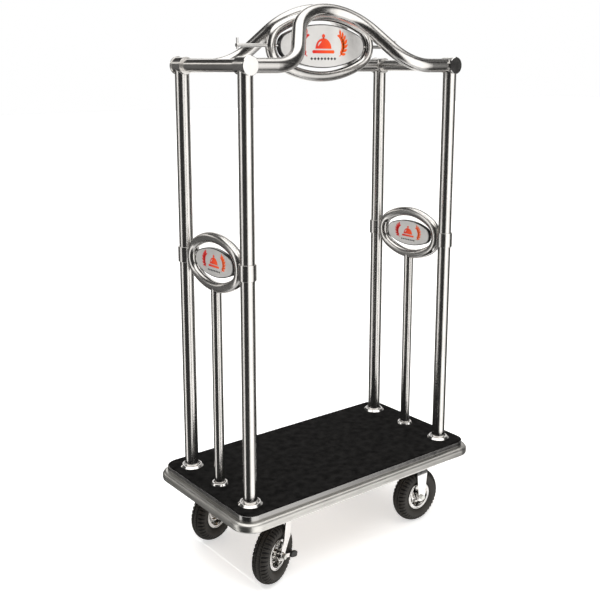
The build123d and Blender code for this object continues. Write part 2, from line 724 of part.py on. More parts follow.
def hanger_bars():
    """The garment hanger bar at each side of the crown, with an upturned stop at its tip."""
    stub_x = HANGER_TIP - STUB_DIAMETER / 2 - 1
    with BuildPart() as bars:
        for way in (-1, 1):
            with BuildSketch(Plane(origin=(way * CROWN_SEMI_X, 0, CROWN_Z), z_dir=(way, 0, 0))):
                Circle(HANGER_DIAMETER / 2)
            extrude(amount=HANGER_TIP - CROWN_SEMI_X)
            with BuildSketch(Plane(origin=(way * stub_x, 0, CROWN_Z - STUB_DROP))):
                Circle(STUB_DIAMETER / 2)
            extrude(amount=STUB_DROP + STUB_RISE)
        with BuildSketch(Plane.XY.offset(CROWN_Z - RING)):
            with Locations((-CROWN_SEMI_X, 0), (CROWN_SEMI_X, 0)):
                Circle(RING + WELD_GAP)
        extrude(amount=RING_TUBE, mode=Mode.SUBTRACT)
    save(bars, "hanger_bars")


def apex_saddle():
    """The filler that joins the two arches along the top of the crown."""
    with BuildPart() as saddle:
        with BuildSketch(Plane.XY.offset(APEX_Z + SADDLE_LOW)):
            Rectangle(SADDLE_LENGTH, POST_DIAMETER / 2)
        extrude(amount=SADDLE_HIGH - SADDLE_LOW)
        add(list(ARCH_CUTTERS.values()), mode=Mode.SUBTRACT)
    save(saddle, "apex_saddle")


# ---- casters ----
def caster_frame(x, y, turn):
    """A caster's upright frame: X is the way it rolls, and the kingpin is its Z axis."""
    return Plane(origin=(x, y, 0), x_dir=(cos(radians(turn)), sin(radians(turn)), 0), z_dir=(0, 0, 1))


def wheel_plane(frame, trail):
    """A flat plane through the wheel's centre: its Y is the axle."""
    return Plane(
        origin=frame.from_local_coords((-trail, 0, WHEEL_RADIUS)), x_dir=frame.x_dir, z_dir=frame.z_dir
    )


def leg_plane(frame, offset):
    """An upright plane along the way the caster rolls, offset sideways from its middle."""
    return Plane(origin=frame.from_local_coords((0, offset, 0)), x_dir=frame.x_dir, z_dir=-frame.y_dir)


def caster_plate_sketch():
    """The outline of a caster's top plate with its four bolt holes."""
    RectangleRounded(PLATE_X, PLATE_Y, PLATE_CORNER)
    with GridLocations(PLATE_BOLT_X, PLATE_BOLT_Y, 2, 2):
        Circle(PLATE_BOLT / 2 + FIT, mode=Mode.SUBTRACT)


def swivel_plate(name, x, y):
    """A swivel caster's top plate with its upper bearing race."""
    with BuildPart() as plate:
        with BuildSketch(Plane(origin=(x, y, PLATE_BOTTOM))):
            caster_plate_sketch()
        extrude(amount=PLATE_THICKNESS)
        with BuildSketch(Plane(origin=(x, y, PLATE_BOTTOM))):
            Circle(RACE_DIAMETER / 2)
        extrude(amount=-UPPER_RACE)
        with BuildSketch(Plane(origin=(x, y, PLATE_BOTTOM - UPPER_RACE))):
            Circle(KINGPIN_DIAMETER / 2 + FIT)
        extrude(amount=PLATE_THICKNESS + UPPER_RACE, mode=Mode.SUBTRACT)
    save(plate, f"swivel_plate_{name}")


def kingpins(places):
    """The two kingpins, each with a head in its channel and a nut under the fork crown."""
    low = FORK_CROWN_TOP - FORK_CROWN - KINGPIN_NUT_HEIGHT - SIDE_PLAY
    high = CHASSIS_BOTTOM + BOLSTER_WALL
    with BuildPart() as pins:
        with BuildSketch(Plane.XY.offset(low)):
            with Locations(*places):
                Circle(KINGPIN_DIAMETER / 2)
        extrude(amount=high - low)
        with BuildSketch(Plane.XY.offset(low)):
            with Locations(*places):
                RegularPolygon(KINGPIN_NUT / 2, 6, major_radius=False)
        extrude(amount=KINGPIN_NUT_HEIGHT)
        with BuildSketch(Plane.XY.offset(high)):
            with Locations(*places):
                RegularPolygon(KINGPIN_NUT / 2, 6, major_radius=False)
        extrude(amount=KINGPIN_NUT_HEIGHT)
    save(pins, "kingpins")


def fork_legs(frame, outline, eye_x):
    """Both side plates of a fork: an outline above the axle, joined to the axle's eye."""
    with BuildPart() as legs:
        for side in (-1, 1):
            with BuildSketch(leg_plane(frame, side * FORK_GAP / 2)):
                with BuildLine():
                    Polyline(*outline, close=True)
                make_face()
                with Locations((eye_x, WHEEL_RADIUS)):
                    Circle(FORK_EYE)
                    Circle(AXLE + FIT, mode=Mode.SUBTRACT)
            extrude(amount=-side * FORK_PLATE)
    return legs.part


def swivel_fork(name, frame):
    """A swivel fork: crown, lower race and two legs."""
    middle = (FORK_CROWN_FRONT - FORK_CROWN_BACK) / 2
    top = frame.offset(FORK_CROWN_TOP)
    knee = WHEEL_RADIUS + FORK_KNEE_RISE
    outline = [
        (FORK_LEG_FRONT, FORK_CROWN_TOP),
        (-FORK_LEG_BACK, FORK_CROWN_TOP),
        (-FORK_KNEE_BACK, knee),
        (-SWIVEL_TRAIL - FORK_EYE, WHEEL_RADIUS),
        (-SWIVEL_TRAIL + FORK_EYE, WHEEL_RADIUS),
        (FORK_KNEE_FRONT, knee),
    ]
    with BuildPart() as fork:
        with BuildSketch(frame.offset(FORK_CROWN_TOP - FORK_CROWN)):
            with Locations((middle, 0)):
                Rectangle(FORK_CROWN_FRONT + FORK_CROWN_BACK, 2 * FORK_OUTER)
        extrude(amount=FORK_CROWN)
        add(fork_legs(frame, outline, -SWIVEL_TRAIL))
        with BuildSketch(top):
            Circle(RACE_DIAMETER / 2 - FORK_PLATE)
        extrude(amount=LOWER_RACE)
        with BuildSketch(frame.offset(FORK_CROWN_TOP - FORK_CROWN)):
            Circle(KINGPIN_DIAMETER / 2 + RUNNING)
        extrude(amount=PLATE_BOTTOM - FORK_CROWN_TOP + FORK_CROWN, mode=Mode.SUBTRACT)
    save(fork, f"swivel_fork_{name}")


def rigid_fork(name, frame):
    """A rigid caster's bracket: top plate and two broad legs."""
    outline = [
        (RIGID_LEG_TOP / 2, PLATE_BOTTOM),
        (-RIGID_LEG_TOP / 2, PLATE_BOTTOM),
        (-FORK_EYE, WHEEL_RADIUS),
        (FORK_EYE, WHEEL_RADIUS),
    ]
    with BuildPart() as fork:
        with BuildSketch(frame.offset(PLATE_BOTTOM)):
            caster_plate_sketch()
        extrude(amount=PLATE_THICKNESS)
        add(fork_legs(frame, outline, 0))
    save(fork, f"rigid_fork_{name}")


def axle_bolt(axle_plane, head_gap):
    """An axle bolt with its hex head on the -Y side and its nut on the +Y side."""
    head_y = FORK_OUTER + head_gap
    tail_y = FORK_OUTER + FIT
    start = Plane(origin=axle_plane.from_local_coords((0, -head_y, 0)), z_dir=axle_plane.y_dir)
    nut = Plane(origin=axle_plane.from_local_coords((0, tail_y, 0)), z_dir=axle_plane.y_dir)
    with BuildPart() as bolt:
        with BuildSketch(start):
            Circle(AXLE)
        extrude(amount=head_y + tail_y + AXLE_HEAD_HEIGHT)
        with BuildSketch(start):
            RegularPolygon(AXLE_HEAD / 2, 6, major_radius=False)
        extrude(amount=-AXLE_HEAD_HEIGHT)
        with BuildSketch(nut):
            RegularPolygon(AXLE_HEAD / 2, 6, major_radius=False)
        extrude(amount=AXLE_HEAD_HEIGHT)
    return bolt.part


def wheel(name, plane):
    """One wheel: a two-flanged metal rim with its hub, two bearings and the tyre."""
    axle_axis = Axis(plane.origin, plane.y_dir)
    half_hub = HUB_LENGTH / 2
    half_flange = WHEEL_FLANGE_WIDTH / 2
    half_web = WHEEL_WEB / 2
    hub = HUB_DIAMETER / 2
    bore = BEARING_DIAMETER / 2
    barrel = RIM_SEAT_RADIUS - WHEEL_BARREL_WALL
    with BuildPart() as rim:
        with BuildSketch(plane):
            with Locations(((bore + hub) / 2, 0)):
                Rectangle(hub - bore, HUB_LENGTH)
            with Locations(((hub + barrel) / 2, 0)):
                Rectangle(barrel - hub, WHEEL_WEB)
            with Locations(((barrel + RIM_SEAT_RADIUS) / 2, 0)):
                Rectangle(WHEEL_BARREL_WALL, WHEEL_FLANGE_WIDTH)
            with Locations((0, half_flange - half_web), (0, half_web - half_flange)):
                with Locations(((RIM_SEAT_RADIUS + WHEEL_FLANGE_RADIUS) / 2, 0)):
                    Rectangle(WHEEL_FLANGE_RADIUS - RIM_SEAT_RADIUS, WHEEL_BARREL_WALL)
            with Locations(((bore + AXLE) / 2 + 1, 0)):
                Rectangle(bore - AXLE - 2, HUB_LENGTH - 2 * BEARING_WIDTH)
        revolve(axis=axle_axis)
        with BuildSketch(Plane(origin=plane.origin, x_dir=plane.x_dir, z_dir=plane.y_dir)):
            with PolarLocations(WHEEL_HOLE_CIRCLE, WHEEL_HOLES):
                Circle(WHEEL_HOLE_DIAMETER / 2)
        extrude(amount=WHEEL_WEB, both=True, mode=Mode.SUBTRACT)
    save(rim, f"wheel_rim_{name}")

    with BuildPart() as bearings:
        with BuildSketch(plane):
            for way in (-1, 1):
                with Locations(((AXLE + RUNNING + bore - FIT) / 2, way * (half_hub - BEARING_WIDTH / 2))):
                    Rectangle(bore - FIT - AXLE - RUNNING, BEARING_WIDTH - 2 * FIT)
        revolve(axis=axle_axis)
    save(bearings, f"wheel_bearings_{name}")

    with BuildPart() as tyre:
        revolve(tyre_section(plane, 0), axis=axle_axis)
        revolve(tyre_section(plane, TYRE_WALL), axis=axle_axis, mode=Mode.SUBTRACT)
    save(tyre, f"tyre_{name}")


def tyre_section(plane, inset):
    """The tyre's outer section, or its hollow when inset by the wall."""
    half = TYRE_WIDTH / 2 - inset
    crown = WHEEL_RADIUS - inset
    shoulder = crown - 12.0
    seat = RIM_SEAT_RADIUS + FIT
    inside_flange = WHEEL_FLANGE_WIDTH / 2 - WHEEL_WEB / 2 - WHEEL_BARREL_WALL / 2
    bead = inside_flange - FIT - 0.6 * inset
    over_flange = WHEEL_FLANGE_RADIUS + 2.0 + 0.5 * inset
    wall_middle = (over_flange + shoulder) / 2
    with BuildSketch(plane) as section:
        with BuildLine():
            Polyline((over_flange, -bead), (seat, -bead), (seat, bead), (over_flange, bead))
            ThreePointArc((over_flange, bead), (wall_middle, half), (shoulder, half - 3.0))
            ThreePointArc((shoulder, half - 3.0), (crown, 0), (shoulder, 3.0 - half))
            ThreePointArc((shoulder, 3.0 - half), (wall_middle, -half), (over_flange, -bead))
        make_face()
    return section.sketch


def brake(name, frame):
    """The side-lock brake: a lever on the axle bolt, with a rubber pedal on its end."""
    side = leg_plane(frame, -FORK_OUTER - SIDE_PLAY)
    middle = side.offset(LEVER_THICKNESS / 2)
    slope = radians(LEVER_SLOPE)
    eye = (-SWIVEL_TRAIL, WHEEL_RADIUS)
    tip = (eye[0] + LEVER_REACH * cos(slope), eye[1] + LEVER_REACH * sin(slope))
    pedal_reach = LEVER_REACH - PEDAL_OVERLAP + PEDAL_LENGTH / 2
    pedal_centre = (eye[0] + pedal_reach * cos(slope), eye[1] + pedal_reach * sin(slope))
    with BuildPart() as lever:
        with BuildSketch(side):
            with BuildLine():
                Line(eye, tip)
            trace(line_width=LEVER_WIDTH)
            with Locations(eye):
                Circle(LEVER_EYE)
                Circle(AXLE + RUNNING, mode=Mode.SUBTRACT)
        extrude(amount=LEVER_THICKNESS)
    with BuildPart() as pedal:
        with BuildSketch(middle):
            with Locations(Location((*pedal_centre, 0), (0, 0, LEVER_SLOPE))):
                RectangleRounded(PEDAL_LENGTH, PEDAL_WIDTH, PEDAL_WIDTH / 3)
        extrude(amount=PEDAL_THICKNESS / 2, both=True)
        add(lever.part, mode=Mode.SUBTRACT)
    save(lever, f"brake_lever_{name}")
    save(pedal, f"brake_pedal_{name}")


def casters():
    """All four casters."""
    swivels = {"front_left": (SWIVEL_X, -CASTER_Y), "back_left": (SWIVEL_X, CASTER_Y)}
    rigids = {"front_right": (RIGID_X, -CASTER_Y), "back_right": (RIGID_X, CASTER_Y)}
    for name, (x, y) in swivels.items():
        frame = caster_frame(x, y, SWIVEL_TURNS[name])
        plane = wheel_plane(frame, SWIVEL_TRAIL)
        swivel_plate(name, x, y)
        swivel_fork(name, frame)
        with BuildPart() as axle:
            add(axle_bolt(plane, LEVER_THICKNESS + 2 * SIDE_PLAY))
        save(axle, f"axle_{name}")
        wheel(name, plane)
        brake(name, frame)
    kingpins(list(swivels.values()))
    with BuildPart() as axles:
        for x, y in rigids.values():
            add(axle_bolt(wheel_plane(caster_frame(x, y, 0), 0), FIT))
    save(axles, "rigid_axles")
    for name, (x, y) in rigids.items():
        frame = caster_frame(x, y, 0)
        rigid_fork(name, frame)
        wheel(name, wheel_plane(frame, 0))


deck_board()
carpet()
deck_skirt()
deck_rim()
bolsters()
chassis_rails()
caster_bolts()
post_bolts()
posts()
end_posts()
post_flanges()
post_collars()
end_rails()
corner_sleeves()
end_caps()
arches()
crown_ring()
crown_plate()
side_rings()
side_plates()
plate_pins()
hanger_bars()
apex_saddle()
casters()
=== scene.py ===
"""Hotel luggage cart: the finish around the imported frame.

Brushed and polished stainless tube, pneumatic tyres with moulded tread, bolted wheel rims, a cut-pile
carpet, weld beads and enamel emblems. Metres, in the frame's own axes: +X along the deck, +Z up.
"""
import json
import math

import bmesh
import bpy
import numpy as np
from mathutils import Matrix, Vector, noise


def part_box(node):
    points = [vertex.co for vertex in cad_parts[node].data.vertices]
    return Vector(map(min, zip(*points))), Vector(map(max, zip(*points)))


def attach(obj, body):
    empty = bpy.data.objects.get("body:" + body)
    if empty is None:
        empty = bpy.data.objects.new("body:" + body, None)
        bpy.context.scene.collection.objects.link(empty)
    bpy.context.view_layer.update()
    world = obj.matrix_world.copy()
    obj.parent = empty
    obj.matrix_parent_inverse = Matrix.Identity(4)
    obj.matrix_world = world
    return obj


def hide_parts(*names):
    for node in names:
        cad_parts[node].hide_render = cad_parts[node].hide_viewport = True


bl_info = {
    "name": "Luggage Cart Finish",
    "version": (1, 0, 0),
    "blender": (4, 5, 0),
    "location": "View3D > Sidebar > Luggage Cart",
    "description": "Tyres, wheel fittings, carpet, weld beads, emblems and metal finishes for a luggage cart",
    "category": "Object",
}

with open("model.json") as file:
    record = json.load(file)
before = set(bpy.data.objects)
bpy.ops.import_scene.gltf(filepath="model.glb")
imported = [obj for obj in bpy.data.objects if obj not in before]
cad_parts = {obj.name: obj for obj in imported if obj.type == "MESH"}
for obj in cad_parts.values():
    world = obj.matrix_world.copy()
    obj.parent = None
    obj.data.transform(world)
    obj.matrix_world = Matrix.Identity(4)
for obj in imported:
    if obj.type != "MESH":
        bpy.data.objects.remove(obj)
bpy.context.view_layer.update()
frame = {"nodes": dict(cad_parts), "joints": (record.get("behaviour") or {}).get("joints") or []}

NODES = frame["nodes"]
WHEELS = ("front_left", "back_left", "front_right", "back_right")
SWIVELS = ("front_left", "back_left")
CORNERS = ("front_left", "back_left", "front_right", "back_right")
ROOT = "cart"
MARK = "mark"

# Weld bead: radius and ripple length in metres, and the ripple's depth as a share of the radius.
WELD_RADIUS = 0.0013
WELD_PITCH = 0.0042
WELD_RIPPLE = 0.14


# ---- places read from the frame ----
def centre(node):
    """The middle of a node's box."""
    low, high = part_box(node)
    return (low + high) / 2


def extent(node):
    """The size of a node's box."""
    low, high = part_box(node)
    return high - low


def joint_to(body):
    """The joint that moves a body."""
    return next(joint for joint in frame["joints"] if joint["child"] == body)


def wheel_place(name):
    """A wheel's own axes: X the way it rolls, Y up and Z along the axle, away from the deck's middle."""
    joint = joint_to(f"wheel_{name}")
    middle = Vector(joint["pos_m"])
    axle = Vector(joint["axis"]).normalized()
    if axle.y * middle.y < 0:
        axle.negate()
    up = Vector((0, 0, 1))
    roll = up.cross(axle)
    place = Matrix((roll, up, axle)).transposed().to_4x4()
    place.translation = middle
    return place


def facing(origin, normal):
    """Axes for a flat emblem: X to the reader's right, Y up and Z out of the face."""
    up = Vector((0, 0, 1))
    normal = Vector(normal)
    place = Matrix((up.cross(normal), up, normal)).transposed().to_4x4()
    place.translation = origin
    return place


# ---- a small mesh workshop ----
class Stock:
    """Vertices, faces and finishes gathered for one piece."""

    def __init__(self):
        self.points = []
        self.faces = []
        self.finish = []
        self.marks = []

    def face(self, corners, finish=0):
        """One face from the numbers of its corners."""
        self.faces.append(tuple(corners))
        self.finish.append(finish)

    def ring(self, place, radius, height, sides):
        """One ring of points round the place's Z axis."""
        start = len(self.points)
        for step in range(sides):
            angle = 2 * math.pi * step / sides
            spot = Vector((radius * math.cos(angle), radius * math.sin(angle), height))
            self.points.append(place @ spot)
        return list(range(start, start + sides))

    def band(self, lower, upper, finish=0):
        """Faces between two rings with as many points."""
        for step in range(len(lower)):
            after = (step + 1) % len(lower)
            self.face((lower[step], lower[after], upper[after], upper[step]), finish)

    def turned(self, place, profile, sides=48, finish=0, closed=False):
        """A turned solid: (radius, height) points, capped at both ends or closed into a loop."""
        rings = [self.ring(place, radius, height, sides) for radius, height in profile]
        for lower, upper in zip(rings, rings[1:]):
            self.band(lower, upper, finish)
        if closed:
            self.band(rings[-1], rings[0], finish)
        else:
            self.face(rings[0][::-1], finish)
            self.face(rings[-1], finish)

    def plate(self, place, outline, low, high, finish=0):
        """A flat plate with a given outline, from one height to another."""
        bottom, top = [], []
        for height, ring in ((low, bottom), (high, top)):
            for x, y in outline:
                ring.append(len(self.points))
                self.points.append(place @ Vector((x, y, height)))
        self.band(bottom, top, finish)
        self.face(bottom[::-1], finish)
        self.face(top, finish)

    def bead(self, loop, radius, pitch, sides=8, finish=0):
        """A rippled weld bead along a closed loop of points."""
        count = len(loop)
        length = sum((loop[i] - loop[i - 1]).length for i in range(count))
        ripples = max(1, round(length / pitch))
        rings = []
        middle = sum(loop, Vector()) / count
        for step, point in enumerate(loop):
            along = (loop[(step + 1) % count] - loop[step - 1]).normalized()
            out = (point - middle).normalized()
            side = along.cross(out).normalized()
            out = side.cross(along)
            size = radius * (1 + WELD_RIPPLE * math.sin(2 * math.pi * ripples * step / count))
            ring = []
            for turn in range(sides):
                angle = 2 * math.pi * turn / sides
                ring.append(len(self.points))
                self.points.append(point + size * (math.cos(angle) * out + math.sin(angle) * side))
            rings.append(ring)
        for lower, upper in zip(rings, rings[1:] + rings[:1]):
            self.band(lower, upper, finish)

    def piece(self, name, materials, body, smooth=40.0):
        """The finished object, with outward normals, riding on its body."""
        mesh = bpy.data.meshes.new(name)
        mesh.from_pydata(self.points, [], self.faces)
        for material in materials:
            mesh.materials.append(material)
        mesh.polygons.foreach_set("material_index", self.finish)
        if self.marks:
            mesh.attributes.new(MARK, "FLOAT", "POINT").data.foreach_set("value", self.marks)
        shell = bmesh.new()
        shell.from_mesh(mesh)
        bmesh.ops.recalc_face_normals(shell, faces=shell.faces)
        shell.to_mesh(mesh)
        shell.free()
        mesh.shade_smooth()
        mesh.set_sharp_from_angle(angle=math.radians(smooth))
        made = bpy.data.objects.new(name, mesh)
        bpy.context.scene.collection.objects.link(made)
        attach(made, body)
        return made


def arc(centre_x, centre_y, radius, start, end, steps):
    """Points along an arc, angles in degrees."""
    angles = [math.radians(start + (end - start) * step / steps) for step in range(steps + 1)]
    return [(centre_x + radius * math.cos(a), centre_y + radius * math.sin(a)) for a in angles]


def arc_through(a, b, c, steps):
    """Points along the arc from a to c that passes through b."""
    (ax, ay), (bx, by), (cx, cy) = a, b, c
    double = 2 * (ax * (by - cy) + bx * (cy - ay) + cx * (ay - by))
    a2, b2, c2 = ax * ax + ay * ay, bx * bx + by * by, cx * cx + cy * cy
    x = (a2 * (by - cy) + b2 * (cy - ay) + c2 * (ay - by)) / double
    y = (a2 * (cx - bx) + b2 * (ax - cx) + c2 * (bx - ax)) / double
    radius = math.hypot(ax - x, ay - y)
    start = math.atan2(ay - y, ax - x)
    turn = (math.atan2(cy - y, cx - x) - start + math.pi) % (2 * math.pi) - math.pi
    return [
        (x + radius * math.cos(start + turn * i / steps), y + radius * math.sin(start + turn * i / steps))
        for i in range(steps + 1)
    ]


# ---- finishes ----
class Finish:
    """A node-based material: a Principled shader with grain, mottling and fine relief."""

    def __init__(self, name, colour, metallic, roughness):
        self.material = bpy.data.materials.new(name)
        self.material.use_nodes = True
        self.tree = self.material.node_tree
        self.shader = self.tree.nodes["Principled BSDF"]
        self.shader.inputs["Base Color"].default_value = (*colour[:3], 1)
        self.shader.inputs["Metallic"].default_value = metallic
        self.shader.inputs["Roughness"].default_value = roughness
        self.place = self.tree.nodes.new("ShaderNodeTexCoord").outputs["Object"]

    def set(self, **values):
        """Set sockets that are the same all over."""
        for socket, value in values.items():
            self.shader.inputs[socket.replace("_", " ")].default_value = value
        return self

    def grain(self, scale, stretch=(1, 1, 1), detail=3.0):
        """A noise pattern, stretched along the grain."""
        mapping = self.tree.nodes.new("ShaderNodeMapping")
        mapping.inputs["Scale"].default_value = stretch
        self.tree.links.new(self.place, mapping.inputs["Vector"])
        pattern = self.tree.nodes.new("ShaderNodeTexNoise")
        pattern.inputs["Scale"].default_value = scale
        pattern.inputs["Detail"].default_value = detail
        self.tree.links.new(mapping.outputs["Vector"], pattern.inputs["Vector"])
        return pattern.outputs["Fac"]

    def mark(self):
        """The mark each point carries: how far a tread point stands out of its grooves, which sets the
        painted shade in the grooves, or the way across an emblem.
        """
        attribute = self.tree.nodes.new("ShaderNodeAttribute")
        attribute.attribute_name = MARK
        return attribute.outputs["Fac"]

    def cells(self, scale):
        """A cell pattern, for tufts and moulded texture."""
        pattern = self.tree.nodes.new("ShaderNodeTexVoronoi")
        pattern.inputs["Scale"].default_value = scale
        self.tree.links.new(self.place, pattern.inputs["Vector"])
        return pattern.outputs["Distance"]

    def colours(self, pattern, low, high, start=0.35, end=0.65):
        """Colour that runs from low to high with a pattern."""
        ramp = self.tree.nodes.new("ShaderNodeValToRGB")
        ramp.color_ramp.elements[0].position = start
        ramp.color_ramp.elements[0].color = (*low[:3], 1)
        ramp.color_ramp.elements[1].position = end
        ramp.color_ramp.elements[1].color = (*high[:3], 1)
        self.tree.links.new(pattern, ramp.inputs["Fac"])
        self.tree.links.new(ramp.outputs["Color"], self.shader.inputs["Base Color"])
        return self

    def roughness(self, pattern, low, high):
        """Roughness that runs from low to high with a pattern."""
        spread = self.tree.nodes.new("ShaderNodeMapRange")
        spread.inputs["From Min"].default_value = 0.3
        spread.inputs["From Max"].default_value = 0.7
        spread.inputs["To Min"].default_value = low
        spread.inputs["To Max"].default_value = high
        self.tree.links.new(pattern, spread.inputs["Value"])
        self.tree.links.new(spread.outputs["Result"], self.shader.inputs["Roughness"])
        return self

    def relief(self, pattern, depth, strength=1.0):
        """Fine relief from a pattern; depth in metres."""
        bump = self.tree.nodes.new("ShaderNodeBump")
        bump.inputs["Distance"].default_value = depth
        bump.inputs["Strength"].default_value = strength
        self.tree.links.new(pattern, bump.inputs["Height"])
        self.tree.links.new(bump.outputs["Normal"], self.shader.inputs["Normal"])
        return self


def shaded(colour, share):
    """A colour made darker or lighter by a share."""
    return tuple(min(1.0, part * share) for part in colour[:3])


def brushed(name, colour, stretch, rough, depth=0.00003, metallic=1.0):
    """Brushed stainless: long fine scratches along the grain."""
    finish = Finish(name, colour, metallic, rough)
    scratches = finish.grain(260.0, stretch, 1.0)
    clouds = finish.grain(9.0)
    finish.colours(clouds, shaded(colour, 0.93), shaded(colour, 1.05))
    finish.roughness(scratches, rough - 0.05, rough + 0.07)
    finish.relief(scratches, depth, 0.2)
    return finish.material


def polished(name, colour, rough):
    """Polished plate with faint buffing marks."""
    finish = Finish(name, colour, 1.0, rough)
    haze = finish.grain(35.0)
    finish.colours(haze, shaded(colour, 0.96), shaded(colour, 1.03))
    finish.roughness(haze, rough * 0.7, rough * 1.5)
    finish.relief(finish.grain(900.0), 0.00002, 0.3)
    return finish.material


def paint(name, colour, rough):
    """Sprayed enamel with a slight orange peel."""
    finish = Finish(name, colour, 0.0, rough)
    finish.set(Coat_Weight=0.4, Coat_Roughness=0.15)
    finish.colours(finish.grain(14.0), shaded(colour, 0.8), shaded(colour, 1.25))
    finish.relief(finish.grain(520.0), 0.00008, 0.35)
    return finish.material


def rubber(name, colour, rough):
    """Moulded rubber: dull, with bloom and a fine mould texture."""
    finish = Finish(name, colour, 0.0, rough)
    finish.set(Specular_IOR_Level=0.3)
    bloom = finish.grain(22.0)
    finish.colours(bloom, shaded(colour, 0.75), shaded(colour, 1.5))
    finish.roughness(bloom, rough - 0.1, rough + 0.1)
    finish.relief(finish.grain(1400.0), 0.00015, 0.5)
    return finish.material


def tread_rubber(name, colour, lug_top_colour):
    """Tyre rubber with painted shade: dark in the grooves and painted lighter on the lug tops, by how far
    each point stands out.
    """
    finish = Finish(name, colour, 0.0, 0.66)
    finish.set(Specular_IOR_Level=0.3)
    # Painted shade: the colour runs from the dark rubber in the groove floors to the lighter colour on the
    # lug tops.
    finish.colours(finish.mark(), colour, lug_top_colour, 0.35, 0.95)
    finish.roughness(finish.grain(22.0), 0.58, 0.78)
    finish.relief(finish.grain(1400.0), 0.00015, 0.5)
    return finish.material


def pile_finish(name, colour):
    """Cut pile: tufts, shading from the lie of the pile, and a soft sheen."""
    finish = Finish(name, colour, 0.0, 0.95)
    finish.set(Specular_IOR_Level=0.06, Sheen_Weight=0.02, Sheen_Roughness=0.5)
    tufts = finish.cells(420.0)
    lie = finish.grain(34.0, (1, 1, 1), 9.0)
    finish.colours(lie, shaded(colour, 0.4), shaded(colour, 2.4))
    finish.relief(tufts, 0.0009, 0.9)
    return finish.material


def plywood(name, colour):
    """Plywood with long grain."""
    finish = Finish(name, colour, 0.0, 0.7)
    grain = finish.grain(30.0, (0.15, 3, 3))
    finish.colours(grain, shaded(colour, 0.65), shaded(colour, 1.15))
    finish.relief(grain, 0.0002, 0.4)
    return finish.material


def enamel(name, first, second):
    """Fired enamel that shades from one colour to another across an emblem's width."""
    finish = Finish(name, first, 0.0, 0.4)
    finish.set(Coat_Weight=0.15, Coat_Roughness=0.1, Specular_IOR_Level=0.3)
    finish.colours(finish.mark(), first, second, 0.25, 0.85)
    finish.relief(finish.grain(700.0), 0.00003, 0.3)
    return finish.material


def dress(settings):
    """Every finish by name, made once."""
    steel = tuple(settings.steel)
    bright = tuple(settings.bright)
    rough = settings.brushing
    return {
        "upright": brushed("brushed_upright", steel, (1, 1, 0.004), rough),
        "lengthwise": brushed("brushed_lengthwise", steel, (0.004, 1, 1), rough),
        "crosswise": brushed("brushed_crosswise", steel, (1, 0.004, 1), rough),
        "plate": brushed(
            "brushed_plate", tuple(settings.plate), (0.06, 0.06, 1), settings.plate_brushing, metallic=0.55
        ),
        "satin": brushed("satin_rim", tuple(settings.rim), (0.03, 0.03, 1), settings.rim_brushing),
        "polished": polished("polished_stainless", bright, 0.07),
        # Painted shade: the skirt is the same polished steel at half the bright metal's colour.
        "skirt": polished("shaded_skirt_stainless", shaded(bright, 0.5), 0.16),
        "chrome": polished("chrome", bright, 0.05),
        "zinc": polished("zinc_plate", (0.60, 0.60, 0.57), 0.3),
        "weld": brushed("weld_bead", shaded(steel, 0.92), (1, 1, 1), 0.3, 0.0001),
        "black_edge": paint("black_edge", (0.012, 0.012, 0.013), 0.22),
        "black_steel": paint("black_enamel", (0.022, 0.022, 0.023), 0.4),
        "tyre": tread_rubber("tyre_rubber", tuple(settings.rubber), tuple(settings.lug_top_rubber)),
        "valve": rubber("valve_rubber", tuple(settings.rubber), 0.5),
        "pedal": rubber("pedal_rubber", (0.014, 0.014, 0.014), 0.5),
        "pile": pile_finish("carpet_pile", tuple(settings.pile)),
        "plywood": plywood("plywood", (0.36, 0.24, 0.13)),
        "enamel": enamel("red_enamel", tuple(settings.red), tuple(settings.orange)),
        "ink": paint("dark_enamel", (0.012, 0.012, 0.016), 0.3),
    }


NODE_FINISH = {
    "upright": [f"post_{corner}" for corner in CORNERS] + ["end_post_left", "end_post_right", "post_collars"],
    "lengthwise": ["arch_front", "arch_back", "crown_ring", "apex_saddle"],
    "crosswise": ["end_rail_left", "end_rail_right", "corner_sleeves", "side_ring_left", "side_ring_right"],
    "plate": ["crown_faces", "side_plate_faces"],
    "satin": ["deck_rim"],
    "skirt": ["deck_skirt"],
    "polished": ["post_flanges", "end_caps", "hanger_bars", "plate_pins"],
    "chrome": [f"wheel_rim_{w}" for w in WHEELS]
    + [f"swivel_fork_{w}" for w in SWIVELS]
    + [f"swivel_plate_{w}" for w in SWIVELS]
    + [f"brake_lever_{w}" for w in SWIVELS]
    + ["rigid_fork_front_right", "rigid_fork_back_right"],
    "zinc": [f"wheel_bearings_{w}" for w in WHEELS]
    + [f"axle_{w}" for w in SWIVELS]
    + ["rigid_axles", "kingpins", "caster_bolts", "post_bolts"],
    "black_edge": ["crown_plate", "side_plate_left", "side_plate_right"],
    "black_steel": ["bolsters", "chassis_rails"],
    "pedal": [f"brake_pedal_{w}" for w in SWIVELS],
    "plywood": ["deck_board"],
    "pile": ["carpet"],
    "tyre": [f"tyre_{w}" for w in WHEELS],
}
FINISHES = {}


